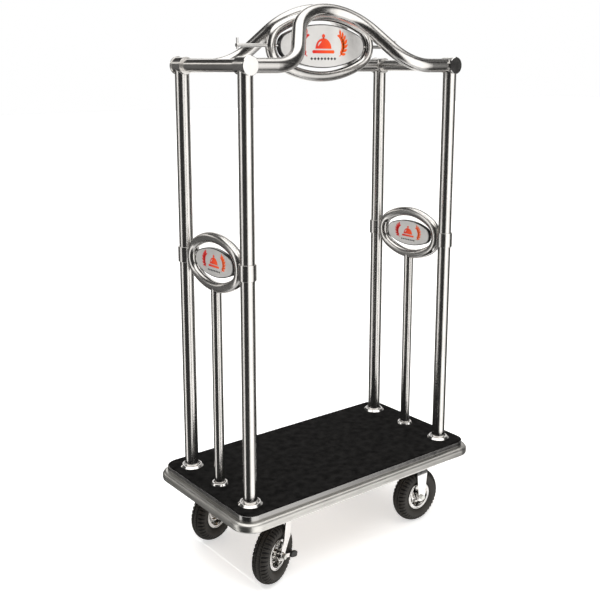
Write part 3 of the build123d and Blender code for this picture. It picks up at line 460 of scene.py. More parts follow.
# ---- what a user would change ----
class CartFinishSettings(bpy.types.PropertyGroup):
    """Metal, rubber, carpet and emblem colours."""

    steel: bpy.props.FloatVectorProperty(
        name="Stainless", description="Brushed tube", subtype="COLOR", default=(0.70, 0.685, 0.665)
    )
    bright: bpy.props.FloatVectorProperty(
        name="Bright metal",
        description="Polished and chromed pieces",
        subtype="COLOR",
        default=(0.80, 0.79, 0.775),
    )
    plate: bpy.props.FloatVectorProperty(
        name="Plate", description="Faces of the oval plates", subtype="COLOR", default=(0.74, 0.73, 0.715)
    )
    rim: bpy.props.FloatVectorProperty(
        name="Rim", description="Satin rim round the deck", subtype="COLOR", default=(0.66, 0.65, 0.62)
    )
    rubber: bpy.props.FloatVectorProperty(
        name="Rubber", description="Tyres", subtype="COLOR", default=(0.0065, 0.0062, 0.0058)
    )
    # Painted light: the lug tops get this lighter colour, so that the grooves read as painted shade.
    lug_top_rubber: bpy.props.FloatVectorProperty(
        name="Lug top rubber",
        description="Lug tops, painted lighter than the painted shade in the grooves",
        subtype="COLOR",
        default=(0.034, 0.031, 0.027),
    )
    pile: bpy.props.FloatVectorProperty(
        name="Carpet", description="Carpet pile", subtype="COLOR", default=(0.0048, 0.0046, 0.0045)
    )
    red: bpy.props.FloatVectorProperty(
        name="Enamel red",
        description="Darker enamel of the emblem",
        subtype="COLOR",
        default=(0.62, 0.008, 0.006),
    )
    orange: bpy.props.FloatVectorProperty(
        name="Enamel orange",
        description="Lighter enamel of the emblem",
        subtype="COLOR",
        default=(0.88, 0.10, 0.004),
    )
    brushing: bpy.props.FloatProperty(
        name="Tube brushing", description="Roughness of the tube", default=0.2, min=0.05, max=0.6
    )
    plate_brushing: bpy.props.FloatProperty(
        name="Plate brushing", description="Roughness of the plate faces", default=0.36, min=0.05, max=0.6
    )
    rim_brushing: bpy.props.FloatProperty(
        name="Rim brushing", description="Roughness of the satin rim", default=0.32, min=0.05, max=0.6
    )


class CartTyreSettings(bpy.types.PropertyGroup):
    """The tyre's section and tread."""

    shoulder_drop: bpy.props.FloatProperty(
        name="Shoulder drop", description="Crown to shoulder", default=0.012, unit="LENGTH"
    )
    shoulder_inset: bpy.props.FloatProperty(
        name="Shoulder inset", description="Widest point to shoulder", default=0.003, unit="LENGTH"
    )
    wall: bpy.props.FloatProperty(
        name="Half width", description="Half of the widest", default=0.031, unit="LENGTH"
    )
    bead_radius: bpy.props.FloatProperty(
        name="Bead radius", description="Where the tyre leaves the rim", default=0.059, unit="LENGTH"
    )
    seat_radius: bpy.props.FloatProperty(
        name="Seat radius", description="Where the bead sits on the rim", default=0.0502, unit="LENGTH"
    )
    bead_half: bpy.props.FloatProperty(
        name="Bead half width", description="Half the width at the bead", default=0.0193, unit="LENGTH"
    )
    lugs: bpy.props.IntProperty(name="Lugs", description="Shoulder lugs round the tyre", default=40, min=8)
    lug_depth: bpy.props.FloatProperty(
        name="Lug depth", description="Depth of the tread", default=0.0052, unit="LENGTH"
    )
    rib_place: bpy.props.FloatProperty(
        name="Rib groove",
        description="Centre of the groove beside the middle rib",
        default=0.0085,
        unit="LENGTH",
    )
    rib_groove: bpy.props.FloatProperty(
        name="Groove width", description="Width of that groove", default=0.0034, unit="LENGTH"
    )


class CartStageSettings(bpy.types.PropertyGroup):
    """Camera and studio."""

    eye: bpy.props.FloatVectorProperty(
        name="Camera",
        description="Camera place",
        subtype="TRANSLATION",
        unit="LENGTH",
        default=(-2.1485, -2.6318, 1.8373),
    )
    pitch: bpy.props.FloatProperty(name="Pitch", description="Degrees below level", default=11.49)
    heading: bpy.props.FloatProperty(name="Heading", description="Degrees right of +Y", default=37.91)
    lens: bpy.props.FloatProperty(name="Lens", description="Focal length in mm", default=54.42)
    shift_x: bpy.props.FloatProperty(name="Shift X", description="Lens shift sideways", default=0.0)
    shift_y: bpy.props.FloatProperty(name="Shift Y", description="Lens shift up or down", default=-0.085)
    floor: bpy.props.FloatVectorProperty(
        name="Floor", description="Studio floor", subtype="COLOR", default=(0.93, 0.93, 0.925)
    )
    floor_glow: bpy.props.FloatProperty(
        name="Floor glow", description="Light from the lit floor", default=0.55
    )
    overhead: bpy.props.FloatProperty(name="Overhead light", description="Watts", default=110.0)


# ---- frame finishes ----
def replace_finish(node, material):
    """Give a node one material over all its faces."""
    slots = NODES[node].material_slots
    if not slots:
        NODES[node].data.materials.append(material)
    for slot in NODES[node].material_slots:
        slot.material = material


class CART_OT_frame_finish(bpy.types.Operator):
    """Give every piece of the frame its metal, rubber, wood or enamel finish"""

    bl_idname = "cart.frame_finish"
    bl_label = "Finish the frame"

    def execute(self, context):
        FINISHES.update(dress(context.scene.cart_finish))
        covered = set()
        for finish, nodes in NODE_FINISH.items():
            for node in nodes:
                replace_finish(node, FINISHES[finish])
                covered.add(node)
        missing = sorted(set(NODES) - covered)
        if missing:
            raise RuntimeError(f"no finish for {missing}")
        return {"FINISHED"}


# ---- tyres ----
# Cuts between lugs, as shares of one lug's turn: where each opens, is fully open, closes and has closed.
NOTCH = (0.05, 0.13, 0.40, 0.50)
SIPE = (0.70, 0.74, 0.79, 0.83)
RIB_CUT = (0.1, 0.2, 0.34, 0.44)
# Depths as shares of the lug depth.
GROOVE_SHARE = 0.8
SIPE_SHARE = 0.45
RIB_CUT_SHARE = 0.5
# The groove's flat and its foot, as shares of its width.
GROOVE_FLAT = 0.3
GROOVE_FOOT = 0.6
# Places across the tread, in metres.
LUG_RAMP = 0.0016
RIB_CUT_PLACE = 0.0042
RIB_CUT_FLAT = 0.0018
RIB_CUT_FOOT = 0.0028
# The lugs fade out over the shoulder between these two drops, and lean by so many lugs a metre.
FADE_LOW = 0.013
FADE_HIGH = 0.004
LUG_SKEW = 9.0
# Fine lines sunk round the wall: drops below the shoulder, and the lines' depth and half width.
WALL_LINES = (0.016, 0.0185, 0.030)
WALL_LINE_DEPTH = 0.0005
WALL_LINE_HALF = 0.0007
WALL_LINE_START = 0.012


def tyre_section(settings, crown):
    """The closed section as (radius, offset): one wall, the tread, the other wall and the bead seat."""
    shoulder = crown - settings.shoulder_drop
    edge = settings.wall - settings.shoulder_inset
    middle = (settings.bead_radius + shoulder) / 2
    half = settings.bead_half
    wall = arc_through((settings.bead_radius, half), (middle, settings.wall), (shoulder, edge), 22)
    tread = arc_through((shoulder, edge), (crown, 0), (shoulder, -edge), 56)
    other = [(radius, -offset) for radius, offset in wall[::-1]]
    seat = [(settings.seat_radius, -half), (settings.seat_radius, 0), (settings.seat_radius, half)]
    return wall + tread[1:-1] + other + seat


def smooth_step(low, high, value):
    """0 below low, 1 above high, smooth between, for arrays."""
    t = np.clip((value - low) / (high - low), 0, 1)
    return t * t * (3 - 2 * t)


def cut_shape(turn, opens, opened, closes, closed):
    """1 inside a cut, 0 outside it, smooth at both sides."""
    return smooth_step(opens, opened, turn) * (1 - smooth_step(closes, closed, turn))


def tread_depth(settings, radius, offset, angle, crown):
    """How far the surface sits below the smooth section, for grooves, lugs and sidewall lines."""
    side = np.abs(offset)
    shoulder = crown - settings.shoulder_drop
    groove = settings.rib_groove
    ribs = 1 - smooth_step(groove * GROOVE_FLAT, groove * GROOVE_FOOT, np.abs(side - settings.rib_place))
    lug_start = settings.rib_place + groove
    across = smooth_step(lug_start, lug_start + LUG_RAMP, side)
    fade = smooth_step(shoulder - FADE_LOW, shoulder - FADE_HIGH, radius)
    skew = (side - lug_start) * LUG_SKEW + np.where(offset > 0, 0.5, 0.0)
    turn = (angle * settings.lugs / (2 * math.pi) + skew) % 1.0
    notch = cut_shape(turn, *NOTCH)
    sipe = cut_shape(turn, *SIPE) * SIPE_SHARE
    cut = np.maximum(ribs * GROOVE_SHARE, across * fade * np.maximum(notch, sipe))
    rib_turn = (angle * settings.lugs / math.pi) % 1.0
    rib_cut = cut_shape(rib_turn, *RIB_CUT)
    rib_zone = 1 - smooth_step(RIB_CUT_FLAT, RIB_CUT_FOOT, np.abs(side - RIB_CUT_PLACE))
    cut = np.maximum(cut, rib_cut * rib_zone * RIB_CUT_SHARE * (radius > shoulder))
    lines = sum(np.exp(-(((radius - shoulder + drop) / WALL_LINE_HALF) ** 2)) for drop in WALL_LINES)
    return settings.lug_depth * cut + WALL_LINE_DEPTH * lines * (radius < shoulder - WALL_LINE_START)


def make_tyre(name, settings, material):
    """One tyre with moulded tread, on its wheel."""
    node = f"tyre_{name}"
    crown = extent(node).z / 2
    place = wheel_place(name)
    section = np.array(tyre_section(settings, crown))
    around = settings.lugs * 12
    angle = np.linspace(0, 2 * math.pi, around, endpoint=False)[:, None]
    radius, offset = section[None, :, 0], section[None, :, 1]
    depth = tread_depth(settings, radius, offset, angle, crown)
    depth[:, -3:] = 0
    outward = radius - depth
    local = np.stack(
        [outward * np.cos(angle), outward * np.sin(angle), np.broadcast_to(offset, outward.shape)], axis=-1
    )
    turn = np.array(place.to_3x3())
    points = local.reshape(-1, 3) @ turn.T + np.array(place.translation)
    count = len(section)
    stock = Stock()
    stock.points = points.tolist()
    # The mark falls from 1 on the lug tops towards 0 at the deepest cuts. It sets the painted shade in the
    # grooves.
    stock.marks = np.clip(1 - depth / settings.lug_depth, 0, 1).ravel().tolist()
    for step in range(around):
        here = step * count
        after = (step + 1) % around * count
        for row in range(count):
            beside = (row + 1) % count
            stock.face((here + row, after + row, after + beside, here + beside))
    tyre = stock.piece(f"tyre_moulded_{name}", [material], f"wheel_{name}", 38.0)
    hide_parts(node)


class CART_OT_tyres(bpy.types.Operator):
    """Mould the four pneumatic tyres with ribs, lugs and sidewall lines"""

    bl_idname = "cart.tyres"
    bl_label = "Tyres"

    def execute(self, context):
        for name in WHEELS:
            make_tyre(name, context.scene.cart_tyre, FINISHES["tyre"])
        return {"FINISHED"}


# ---- wheel fittings ----
# Metres; sections are (radius, height) along the axle or along the part.
LIP_WIRE = 0.0022
FLANGE = 0.0225
LIP_CLEARANCE = 0.0005
HUB_DISH = [(0.0235, 0.0042), (0.0275, 0.0118), (0.0305, 0.0118), (0.0262, 0.0042)]
RIM_WELL = [(0.0466, 0.0180), (0.0438, 0.0180), (0.0412, 0.0060), (0.0466, 0.0042)]
DUST_COVER = [(0.0135, 0.0351), (0.0135, 0.0357), (0.0085, 0.0359), (0.0085, 0.0351)]
CLAMP_BOLTS = 4
CLAMP_CIRCLE = 0.0355
CLAMP_FACE = 0.0040
CLAMP_FLATS = 0.0110
CLAMP_HEIGHT = 0.0070
CLAMP_SHANK = [(0.0030, 0.0), (0.0030, 0.0098), (0.0022, 0.0106)]
VALVE_LEAN = -28
VALVE_FOOT = (0, -0.0440, 0.0120)
VALVE_STEM = [(0.0040, 0), (0.0038, 0.004), (0.0029, 0.006), (0.0027, 0.013)]
VALVE_CAP = [(0.0026, 0.0130), (0.0026, 0.0165), (0.0031, 0.0168), (0.0031, 0.0215), (0.0024, 0.0224)]
# A bolt's washer and head, as shares of its flats and height.
WASHER_SPREAD = 0.95
WASHER_SHARE = 0.14
CHAMFER_START = 0.86
CHAMFER_SHARE = 0.84


def hex_bolt(stock, place, flats, height, finish=0):
    """A chamfered hexagon head on its washer, standing on the place's XY plane."""
    corner = flats / math.sqrt(3)
    washer = flats * WASHER_SPREAD
    seat = height * WASHER_SHARE
    stock.turned(place, [(washer, 0), (washer, seat)], 32, finish)
    head = [(corner, seat), (corner, height * CHAMFER_START), (corner * CHAMFER_SHARE, height)]
    stock.turned(place, head, 6, finish)


def make_wheel_fittings(name):
    """Rolled lips, dished hub rings, clamp bolts and dust covers of one wheel."""
    node = f"wheel_rim_{name}"
    place = wheel_place(name)
    lip_radius = extent(node).z / 2
    stock = Stock()
    for side in (-1, 1):
        out = place @ Matrix.Diagonal((side, 1, side, 1))
        rolled = arc(lip_radius - LIP_WIRE, FLANGE + LIP_CLEARANCE, LIP_WIRE, 0, 330, 11)
        stock.turned(out, rolled, 96, 0, closed=True)
        stock.turned(out, HUB_DISH, 72, 0, closed=True)
        stock.turned(out, RIM_WELL, 72, 0, closed=True)
        stock.turned(out, DUST_COVER, 40, 1, closed=True)
        for step in range(CLAMP_BOLTS):
            angle = math.pi / CLAMP_BOLTS + 2 * step * math.pi / CLAMP_BOLTS
            spot = Matrix.Translation(
                (CLAMP_CIRCLE * math.cos(angle), CLAMP_CIRCLE * math.sin(angle), CLAMP_FACE)
            )
            hex_bolt(stock, out @ spot, CLAMP_FLATS, CLAMP_HEIGHT, 1)
            stock.turned(out @ spot, CLAMP_SHANK, 16, 1)
    stock.piece(f"wheel_fittings_{name}", [FINISHES["chrome"], FINISHES["zinc"]], f"wheel_{name}")


def make_valve(name):
    """The rubber valve stem and its plated cap, leaning out of the rim's well."""
    out = wheel_place(name)
    lean = Matrix.Rotation(math.radians(VALVE_LEAN), 4, "X")
    foot = out @ Matrix.Translation(VALVE_FOOT) @ lean
    stock = Stock()
    stock.turned(foot, VALVE_STEM, 20, 0)
    stock.turned(foot, VALVE_CAP, 20, 1)
    stock.piece(f"valve_{name}", [FINISHES["valve"], FINISHES["zinc"]], f"wheel_{name}")


class CART_OT_wheel_fittings(bpy.types.Operator):
    """Add rolled lips, clamp bolts, dust covers and valves to the wheels"""

    bl_idname = "cart.wheel_fittings"
    bl_label = "Wheel fittings"

    def execute(self, context):
        for name in WHEELS:
            make_wheel_fittings(name)
            make_valve(name)
        return {"FINISHED"}


# ---- carpet ----
# Metres, and tufts or waves of lie to a metre.
PILE_VOXEL = 0.0034
PILE_TOP = 0.001
TUFT_SCALE = 170
TUFT_HEIGHT = 0.00065
LIE_SCALE = 9
LIE_HEIGHT = 0.00025
FEWEST_FACES = 1000


class CART_OT_carpet(bpy.types.Operator):
    """Lay the cut-pile carpet over the deck board"""

    bl_idname = "cart.carpet"
    bl_label = "Carpet"

    def execute(self, context):
        low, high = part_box("carpet")
        rough = bpy.data.objects.new("carpet_blank", NODES["carpet"].data.copy())
        context.scene.collection.objects.link(rough)
        remesh = rough.modifiers.new("pile", "REMESH")
        remesh.mode = "VOXEL"
        remesh.voxel_size = PILE_VOXEL
        context.view_layer.update()
        mesh = bpy.data.meshes.new_from_object(rough.evaluated_get(context.evaluated_depsgraph_get()))
        bpy.data.objects.remove(rough)
        if len(mesh.polygons) < FEWEST_FACES:
            raise RuntimeError("the carpet did not remesh")
        for vertex in mesh.vertices:
            if vertex.co.z > high.z - PILE_TOP:
                x, y = vertex.co.x, vertex.co.y
                tuft = 0.5 + 0.5 * noise.noise(Vector((x * TUFT_SCALE, y * TUFT_SCALE, 0)))
                lie = 0.5 + 0.5 * noise.noise(Vector((x * LIE_SCALE, y * LIE_SCALE, 3)))
                vertex.co.z = high.z - TUFT_HEIGHT * tuft - LIE_HEIGHT * lie
        mesh.materials.clear()
        mesh.materials.append(FINISHES["pile"])
        mesh.shade_smooth()
        carpet = bpy.data.objects.new("carpet_pile", mesh)
        context.scene.collection.objects.link(carpet)
        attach(carpet, ROOT)
        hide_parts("carpet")
        return {"FINISHED"}


# ---- weld beads ----
def saddle_loop(middle, radius, across, axis, inward, steps=72):
    """Where a tube meets a crossing tube: a loop round the tube, set back by the crossing surface.

    inward is the way to the cart's middle along X, 1 or -1, for a tube that lies along X.
    """
    loop = []
    for step in range(steps):
        angle = 2 * math.pi * step / steps
        first, second = radius * math.cos(angle), radius * math.sin(angle)
        reach = math.sqrt(max(across * across - first * first, 0.0))
        if axis == "Z":
            loop.append(middle + Vector((first, second, -reach)))
        else:
            loop.append(middle + Vector((inward * reach, second, first)))
    return loop


class CART_OT_weld_beads(bpy.types.Operator):
    """Run weld beads where the posts and arches meet the corner sleeves"""

    bl_idname = "cart.weld_beads"
    bl_label = "Weld beads"

    def execute(self, context):
        low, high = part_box("corner_sleeves")
        sleeve = (high.z - low.z) / 2
        rail_z = (high.z + low.z) / 2
        stock = Stock()
        for corner in CORNERS:
            post = centre(f"post_{corner}")
            radius = extent(f"post_{corner}").x / 2
            middle = Vector((post.x, post.y, rail_z))
            stock.bead(saddle_loop(middle, radius, sleeve, "Z", 0), WELD_RADIUS, WELD_PITCH)
            inward = -1 if post.x > 0 else 1
            stock.bead(saddle_loop(middle, radius, sleeve, "X", inward), WELD_RADIUS, WELD_PITCH)
        stock.piece("weld_beads", [FINISHES["weld"]], ROOT, 60.0)
        return {"FINISHED"}


# ---- emblems ----
# Metres: how far an emblem is sunk in its plate and how far each enamel stands out.
EMBLEM_SUNK = -0.0003
RED_HEIGHT = 0.0009
DARK_HEIGHT = 0.0006
GLINT_LOW = 0.0008
GLINT_HIGH = 0.0014
# The enamel's shading runs over this many half heights of the plate.
SHADING_SPREAD = 2.6


def leaf(length, width, steps=8):
    """A pointed leaf along +X from the origin."""
    upper = [(length * i / steps, width * math.sin(math.pi * i / steps)) for i in range(steps + 1)]
    lower = [(x, -y) for x, y in upper[-2:0:-1]]
    return upper + lower


def moved(outline, x, y, turn, size=1.0):
    """An outline turned by degrees, scaled and moved."""
    c, s = math.cos(math.radians(turn)) * size, math.sin(math.radians(turn)) * size
    return [(x + c * px - s * py, y + s * px + c * py) for px, py in outline]


def stroke(centre_x, centre_y, radius, start, end, width, steps=14):
    """A curved stroke that tapers at both ends."""
    outer, inner = [], []
    for step in range(steps + 1):
        angle = math.radians(start + (end - start) * step / steps)
        half = width / 2 * (0.25 + 0.75 * math.sin(math.pi * step / steps))
        for ring, reach in ((outer, radius + half), (inner, radius - half)):
            ring.append((centre_x + reach * math.cos(angle), centre_y + reach * math.sin(angle)))
    return outer + inner[::-1]


def bell_outlines():
    """A service bell between two leafy sprays, in units of the plate's half height."""
    dome = arc(0, -0.12, 0.50, 0, 180, 28)
    base = [(-0.66, -0.34), (0.66, -0.34), (0.70, -0.27), (0.66, -0.19), (-0.66, -0.19), (-0.70, -0.27)]
    knob = arc(0, 0.49, 0.09, 0, 345, 23)
    neck = [(-0.04, 0.36), (0.04, 0.36), (0.04, 0.42), (-0.04, 0.42)]
    red = [dome, base, knob, neck]
    for side in (1, -1):
        start, end = (52, -58) if side > 0 else (128, 238)
        red.append(stroke(side * 0.68, 0.04, 0.62, start, end, 0.10))
        for step in range(7):
            angle = 48 - 15.5 * step
            root_x = side * (0.68 + 0.62 * math.cos(math.radians(angle)))
            root_y = 0.04 + 0.62 * math.sin(math.radians(angle))
            for tilt, length in ((52, 0.38), (128, 0.27)):
                lean = angle + tilt if side > 0 else 180 - angle - tilt
                red.append(moved(leaf(length, 0.075), root_x, root_y, lean, 1.0 - 0.05 * abs(step - 3)))
    diamond = [(0.085, 0), (0, 0.075), (-0.085, 0), (0, -0.075)]
    dark = [moved(diamond, 0.21 * (i - 3.5), -0.60, 0) for i in range(8)]
    return red, dark


def make_emblem(name, place, size):
    """One enamel emblem on a plate's face."""
    red, dark = bell_outlines()
    stock = Stock()
    for finish, outlines, height in ((0, red, RED_HEIGHT), (1, dark, DARK_HEIGHT)):
        for outline in outlines:
            stock.plate(place, [(x * size, y * size) for x, y in outline], EMBLEM_SUNK, height, finish)
    glint = stroke(0, -0.12, 0.37, 112, 160, 0.07)
    stock.plate(place, [(x * size, y * size) for x, y in glint], GLINT_LOW, GLINT_HIGH, 2)
    back = place.inverted()
    stock.marks = [0.5 + (back @ point).x / (SHADING_SPREAD * size) for point in stock.points]
    finishes = [FINISHES["enamel"], FINISHES["ink"], FINISHES["plate"]]
    stock.piece(name, finishes, ROOT, 30.0)


class CART_OT_emblems(bpy.types.Operator):
    """Set a service-bell emblem in enamel on both faces of each oval plate"""

    bl_idname = "cart.emblems"
    bl_label = "Emblems"

    def execute(self, context):
        low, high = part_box("crown_faces")
        middle = centre("crown_faces")
        for side, reach, name in ((-1, low.y, "front"), (1, high.y, "back")):
            place = facing(Vector((middle.x, reach, middle.z)), (0, side, 0))
            make_emblem(f"crown_emblem_{name}", place, extent("crown_faces").z / 2)
        apart = (centre("side_plate_right") - centre("side_plate_left")).x
        face = (extent("side_plate_faces").x - apart) / 2
        for end, names in (("left", ("outer", "inner")), ("right", ("inner", "outer"))):
            plate = centre(f"side_plate_{end}")
            for side, name in zip((-1, 1), names):
                place = facing(Vector((plate.x + side * face, plate.y, plate.z)), (side, 0, 0))
                make_emblem(f"side_emblem_{end}_{name}", place, extent("side_plate_faces").z / 2)
        return {"FINISHED"}


# ---- caster details ----
# Metres; sections are (radius, height).
PEDAL_RIBS = 7
RIB_PITCH = 0.0052
RIB_LIFT = 0.0098
RIB_SECTION = [(0.0004, -0.0062), (0.0013, -0.0054), (0.0013, 0.0054), (0.0004, 0.0062)]
SEAL_DROP = 0.0022
SEAL_SECTION = [(0.0325, -0.0012), (0.0345, -0.0016), (0.0352, 0), (0.0345, 0.0016), (0.0325, 0.0012)]


class CART_OT_caster_details(bpy.types.Operator):
    """Add pedal ribs and race seals to the swivel casters"""

    bl_idname = "cart.caster_details"
    bl_label = "Caster details"

    def execute(self, context):
        for name in SWIVELS:
            self.pedal_ribs(name)
            self.race_seal(name)
        return {"FINISHED"}

    def pedal_ribs(self, name):
        """Grip ribs across the top of a brake pedal."""
        joint = joint_to(f"brake_{name}")
        pivot = Vector(joint["pos_m"])
        axle = Vector(joint["axis"]).normalized()
        middle = centre(f"brake_pedal_{name}")
        along = middle - pivot
        along = (along - axle * along.dot(axle)).normalized()
        up = axle.cross(along)
        if up.z < 0:
            up.negate()
        place = Matrix((along, axle, up)).transposed().to_4x4()
        place.translation = middle
        stock = Stock()
        for step in range(PEDAL_RIBS):
            x = RIB_PITCH * (step - PEDAL_RIBS // 2)
            rib = place @ Matrix.Translation((x, 0, RIB_LIFT)) @ Matrix.Rotation(math.pi / 2, 4, "X")
            stock.turned(rib, RIB_SECTION, 14)
        stock.piece(f"pedal_ribs_{name}", [FINISHES["pedal"]], f"brake_{name}")

    def race_seal(self, name):
        """The dark seal ring that closes the gap between the swivel's races."""
        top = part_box(f"swivel_fork_{name}")[1].z
        middle = Vector(joint_to(f"swivel_{name}")["pos_m"])
        place = Matrix.Translation((middle.x, middle.y, top - SEAL_DROP))
        stock = Stock()
        stock.turned(place, SEAL_SECTION, 64, 0, closed=True)
        stock.piece(f"race_seal_{name}", [FINISHES["pedal"]], f"swivel_{name}")


# ---- stage ----
def studio_world(scene):
    """White, grey and black cards round the horizon, a strip and a ceiling; the camera sees plain white."""
    world = bpy.data.worlds.new("studio")
    scene.world = world
    world.use_nodes = True
    tree = world.node_tree
    nodes, links = tree.nodes, tree.links
    nodes.clear()
    coordinates = nodes.new("ShaderNodeTexCoord")
    split = nodes.new("ShaderNodeSeparateXYZ")
    links.new(coordinates.outputs["Generated"], split.inputs["Vector"])

    azimuth = nodes.new("ShaderNodeMath")
    azimuth.operation = "ARCTAN2"
    links.new(split.outputs["Y"], azimuth.inputs[0])
    links.new(split.outputs["X"], azimuth.inputs[1])
    turns = nodes.new("ShaderNodeMapRange")
    turns.inputs["From Min"].default_value = -math.pi
    turns.inputs["From Max"].default_value = math.pi
    links.new(azimuth.outputs["Value"], turns.inputs["Value"])
    cards = nodes.new("ShaderNodeValToRGB")
    fill_ramp(cards.color_ramp, CARDS)
    links.new(turns.outputs["Result"], cards.inputs["Fac"])

    height = nodes.new("ShaderNodeMapRange")
    height.inputs["From Min"].default_value = -1
    height.inputs["From Max"].default_value = 1
    links.new(split.outputs["Z"], height.inputs["Value"])
    ceiling = nodes.new("ShaderNodeValToRGB")
    fill_ramp(ceiling.color_ramp, CEILING)
    links.new(height.outputs["Result"], ceiling.inputs["Fac"])
    cover = nodes.new("ShaderNodeValToRGB")
    fill_ramp(cover.color_ramp, CEILING_COVER)
    links.new(height.outputs["Result"], cover.inputs["Fac"])

    mix = nodes.new("ShaderNodeMix")
    mix.data_type = "RGBA"
    links.new(cover.outputs["Color"], mix.inputs["Factor"])
    links.new(cards.outputs["Color"], mix.inputs["A"])
    links.new(ceiling.outputs["Color"], mix.inputs["B"])
    sides = nodes.new("ShaderNodeValToRGB")
    fill_ramp(sides.color_ramp, STRIP_SIDES)
    links.new(turns.outputs["Result"], sides.inputs["Fac"])
    strip = nodes.new("ShaderNodeValToRGB")
    fill_ramp(strip.color_ramp, STRIP_HEIGHT)
    links.new(height.outputs["Result"], strip.inputs["Fac"])
    lit = nodes.new("ShaderNodeVectorMath")
    lit.operation = "MULTIPLY_ADD"
    links.new(sides.outputs["Color"], lit.inputs[0])
    links.new(strip.outputs["Color"], lit.inputs[1])
    links.new(mix.outputs["Result"], lit.inputs[2])
    studio = nodes.new("ShaderNodeBackground")
    studio.inputs["Strength"].default_value = 1.0
    links.new(lit.outputs["Vector"], studio.inputs["Color"])

    backdrop = nodes.new("ShaderNodeBackground")
    backdrop.inputs["Color"].default_value = (1, 1, 1, 1)
    seen = nodes.new("ShaderNodeLightPath")
    either = nodes.new("ShaderNodeMixShader")
    links.new(seen.outputs["Is Camera Ray"], either.inputs["Fac"])
    links.new(studio.outputs["Background"], either.inputs[1])
    links.new(backdrop.outputs["Background"], either.inputs[2])
    output = nodes.new("ShaderNodeOutputWorld")
    links.new(either.outputs["Shader"], output.inputs["Surface"])


def fill_ramp(ramp, stops):
    """Set a ramp's stops from (place, brightness) pairs."""
    ramp.interpolation = "LINEAR"
    while len(ramp.elements) > 1:
        ramp.elements.remove(ramp.elements[-1])
    ramp.elements[0].position = stops[0][0]
    ramp.elements[0].color = (stops[0][1],) * 3 + (1,)
    for place, level in stops[1:]:
        element = ramp.elements.new(place)
        element.color = (level, level * 0.985, level * 0.965, 1)


def compass(degrees_from_x):
    """A card's edge as a share of the full turn, from its compass angle counted from +X towards +Y."""
    return ((degrees_from_x + 180.0) % 360.0) / 360.0


CARDS = sorted(
    [
        (0.0, 0.04),
        (compass(-128), 0.035),
        (compass(-120), 0.06),
        (compass(-112), 1.5),
        (compass(-88), 1.7),
        (compass(-60), 1.5),
        (compass(-50), 1.1),
        (compass(-44), 0.05),
        (compass(-10), 0.04),
        (compass(12), 0.45),
        (compass(28), 0.45),
        (compass(38), 0.03),
        (compass(43), 1.2),
        (compass(66), 1.2),
        (compass(71), 0.03),
        (compass(104), 0.03),
        (compass(110), 0.13),
        (compass(140), 0.15),
        (compass(147), 1.35),
        (compass(163), 1.35),
        (compass(171), 0.04),
        (1.0, 0.04),
    ]
)
STRIP_SIDES = sorted(
    [
        (0.0, 0.0),
        (compass(90), 0.0),
        (compass(98), 1.0),
        (compass(124), 1.0),
        (compass(132), 0.0),
        (1.0, 0.0),
    ]
)
STRIP_HEIGHT = [(0.0, 0.0), (0.61, 0.0), (0.64, 1.4), (0.665, 1.4), (0.69, 0.0), (1.0, 0.0)]
CEILING = [(0.0, 0.75), (0.3, 0.75), (0.80, 0.04), (0.86, 0.06), (0.90, 1.7), (1.0, 1.9)]
CEILING_COVER = [(0.0, 1.0), (0.06, 1.0), (0.14, 0.0), (0.76, 0.0), (0.80, 1.0), (1.0, 1.0)]
# The floor and the paper on it: name, half width, middle in X and Y, and depth below the tyres, in metres.
FLOOR_SHEETS = (
    ("floor", 30.0, 0.0, 0.0, 0.0005),
    ("paper", 0.42, 0.14, -0.12, 0.0),
)
FLOOR_ASPECT = 1.4
OVERHEAD_SIZE = 6.0
OVERHEAD_PLACE = (-0.6, -1.2, 5.2)
OVERHEAD_AIM = (0, 0, 0.6)


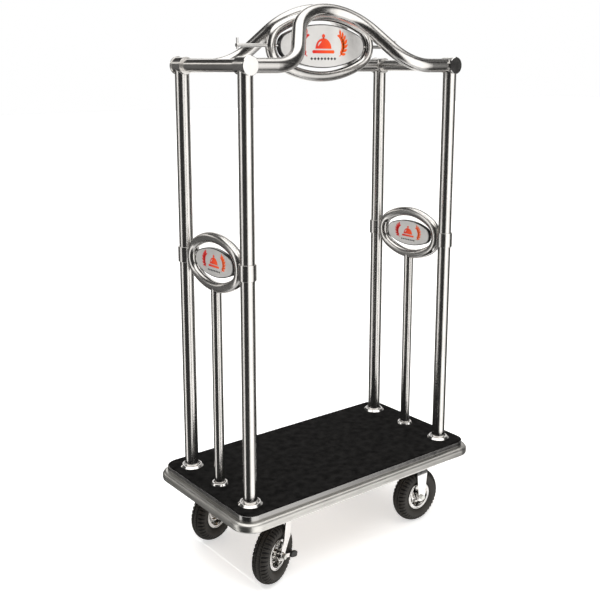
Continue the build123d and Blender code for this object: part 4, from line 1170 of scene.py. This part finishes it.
class CART_OT_stage(bpy.types.Operator):
    """Set the floor, the studio light and the camera"""

    bl_idname = "cart.stage"
    bl_label = "Stage"

    def execute(self, context):
        settings = context.scene.cart_stage
        self.floor(context, settings)
        self.light(context, settings)
        studio_world(context.scene)
        self.camera(context, settings)
        context.scene.view_settings.view_transform = "Standard"
        return {"FINISHED"}

    def floor(self, context, settings):
        """A broad pale floor, with a sheet of white paper under the cart that shines in the chrome."""
        finish = Finish("pale_floor", settings.floor, 0.0, 0.75)
        finish.set(Emission_Color=(1, 1, 1, 1), Emission_Strength=settings.floor_glow)
        finish.colours(finish.grain(1.5), shaded(settings.floor, 0.99), shaded(settings.floor, 1.01))
        signs = ((-1, -1), (1, -1), (1, 1), (-1, 1))
        for name, half, x, y, drop in FLOOR_SHEETS:
            mesh = bpy.data.meshes.new(name)
            corners = [(x + half * FLOOR_ASPECT * right, y + half * away, -drop) for right, away in signs]
            mesh.from_pydata(corners, [], [(0, 1, 2, 3)])
            mesh.materials.append(finish.material)
            sheet = bpy.data.objects.new(name, mesh)
            sheet.visible_glossy = name == "paper"
            context.scene.collection.objects.link(sheet)

    def light(self, context, settings):
        """One broad soft light overhead."""
        lamp = bpy.data.lights.new("overhead", "AREA")
        lamp.shape = "DISK"
        lamp.size = OVERHEAD_SIZE
        lamp.energy = settings.overhead
        above = bpy.data.objects.new("overhead", lamp)
        above.location = OVERHEAD_PLACE
        aim = Vector(OVERHEAD_AIM) - above.location
        above.rotation_euler = aim.to_track_quat("-Z", "Y").to_euler()
        above.visible_glossy = False
        context.scene.collection.objects.link(above)

    def camera(self, context, settings):
        """The camera, looking a little down, with its lens shifted down onto the cart."""
        lens = bpy.data.cameras.new("camera")
        lens.sensor_width = 36.0
        lens.lens = settings.lens
        lens.shift_x = settings.shift_x
        lens.shift_y = settings.shift_y
        lens.clip_end = 200.0
        camera = bpy.data.objects.new("camera", lens)
        camera.location = settings.eye
        camera.rotation_euler = (
            math.radians(90.0 - settings.pitch),
            0.0,
            math.radians(-settings.heading),
        )
        context.scene.collection.objects.link(camera)
        context.scene.camera = camera


# ---- the add-on ----
OPERATORS = (
    CART_OT_frame_finish,
    CART_OT_tyres,
    CART_OT_wheel_fittings,
    CART_OT_carpet,
    CART_OT_weld_beads,
    CART_OT_emblems,
    CART_OT_caster_details,
    CART_OT_stage,
)
SETTINGS = {
    "cart_finish": CartFinishSettings,
    "cart_tyre": CartTyreSettings,
    "cart_stage": CartStageSettings,
}


class CART_PT_finish(bpy.types.Panel):
    """The cart's settings and steps in the 3D view's sidebar"""

    bl_idname = "CART_PT_finish"
    bl_label = "Luggage Cart"
    bl_space_type = "VIEW_3D"
    bl_region_type = "UI"
    bl_category = "Luggage Cart"

    def draw(self, context):
        for name, group in SETTINGS.items():
            box = self.layout.box()
            for field in group.__annotations__:
                box.prop(getattr(context.scene, name), field)
        for operator in OPERATORS:
            self.layout.operator(operator.bl_idname)


def register():
    """Register the settings, the steps and the panel."""
    for name, group in SETTINGS.items():
        bpy.utils.register_class(group)
        setattr(bpy.types.Scene, name, bpy.props.PointerProperty(type=group))
    for operator in OPERATORS:
        bpy.utils.register_class(operator)
    bpy.utils.register_class(CART_PT_finish)


def unregister():
    """Take everything out again."""
    bpy.utils.unregister_class(CART_PT_finish)
    for operator in reversed(OPERATORS):
        bpy.utils.unregister_class(operator)
    for name, group in SETTINGS.items():
        delattr(bpy.types.Scene, name)
        bpy.utils.unregister_class(group)


def main():
    """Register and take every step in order."""
    register()
    bpy.ops.cart.frame_finish()
    bpy.ops.cart.tyres()
    bpy.ops.cart.wheel_fittings()
    bpy.ops.cart.carpet()
    bpy.ops.cart.weld_beads()
    bpy.ops.cart.emblems()
    bpy.ops.cart.caster_details()
    bpy.ops.cart.stage()


if __name__ == "__main__":
    main()
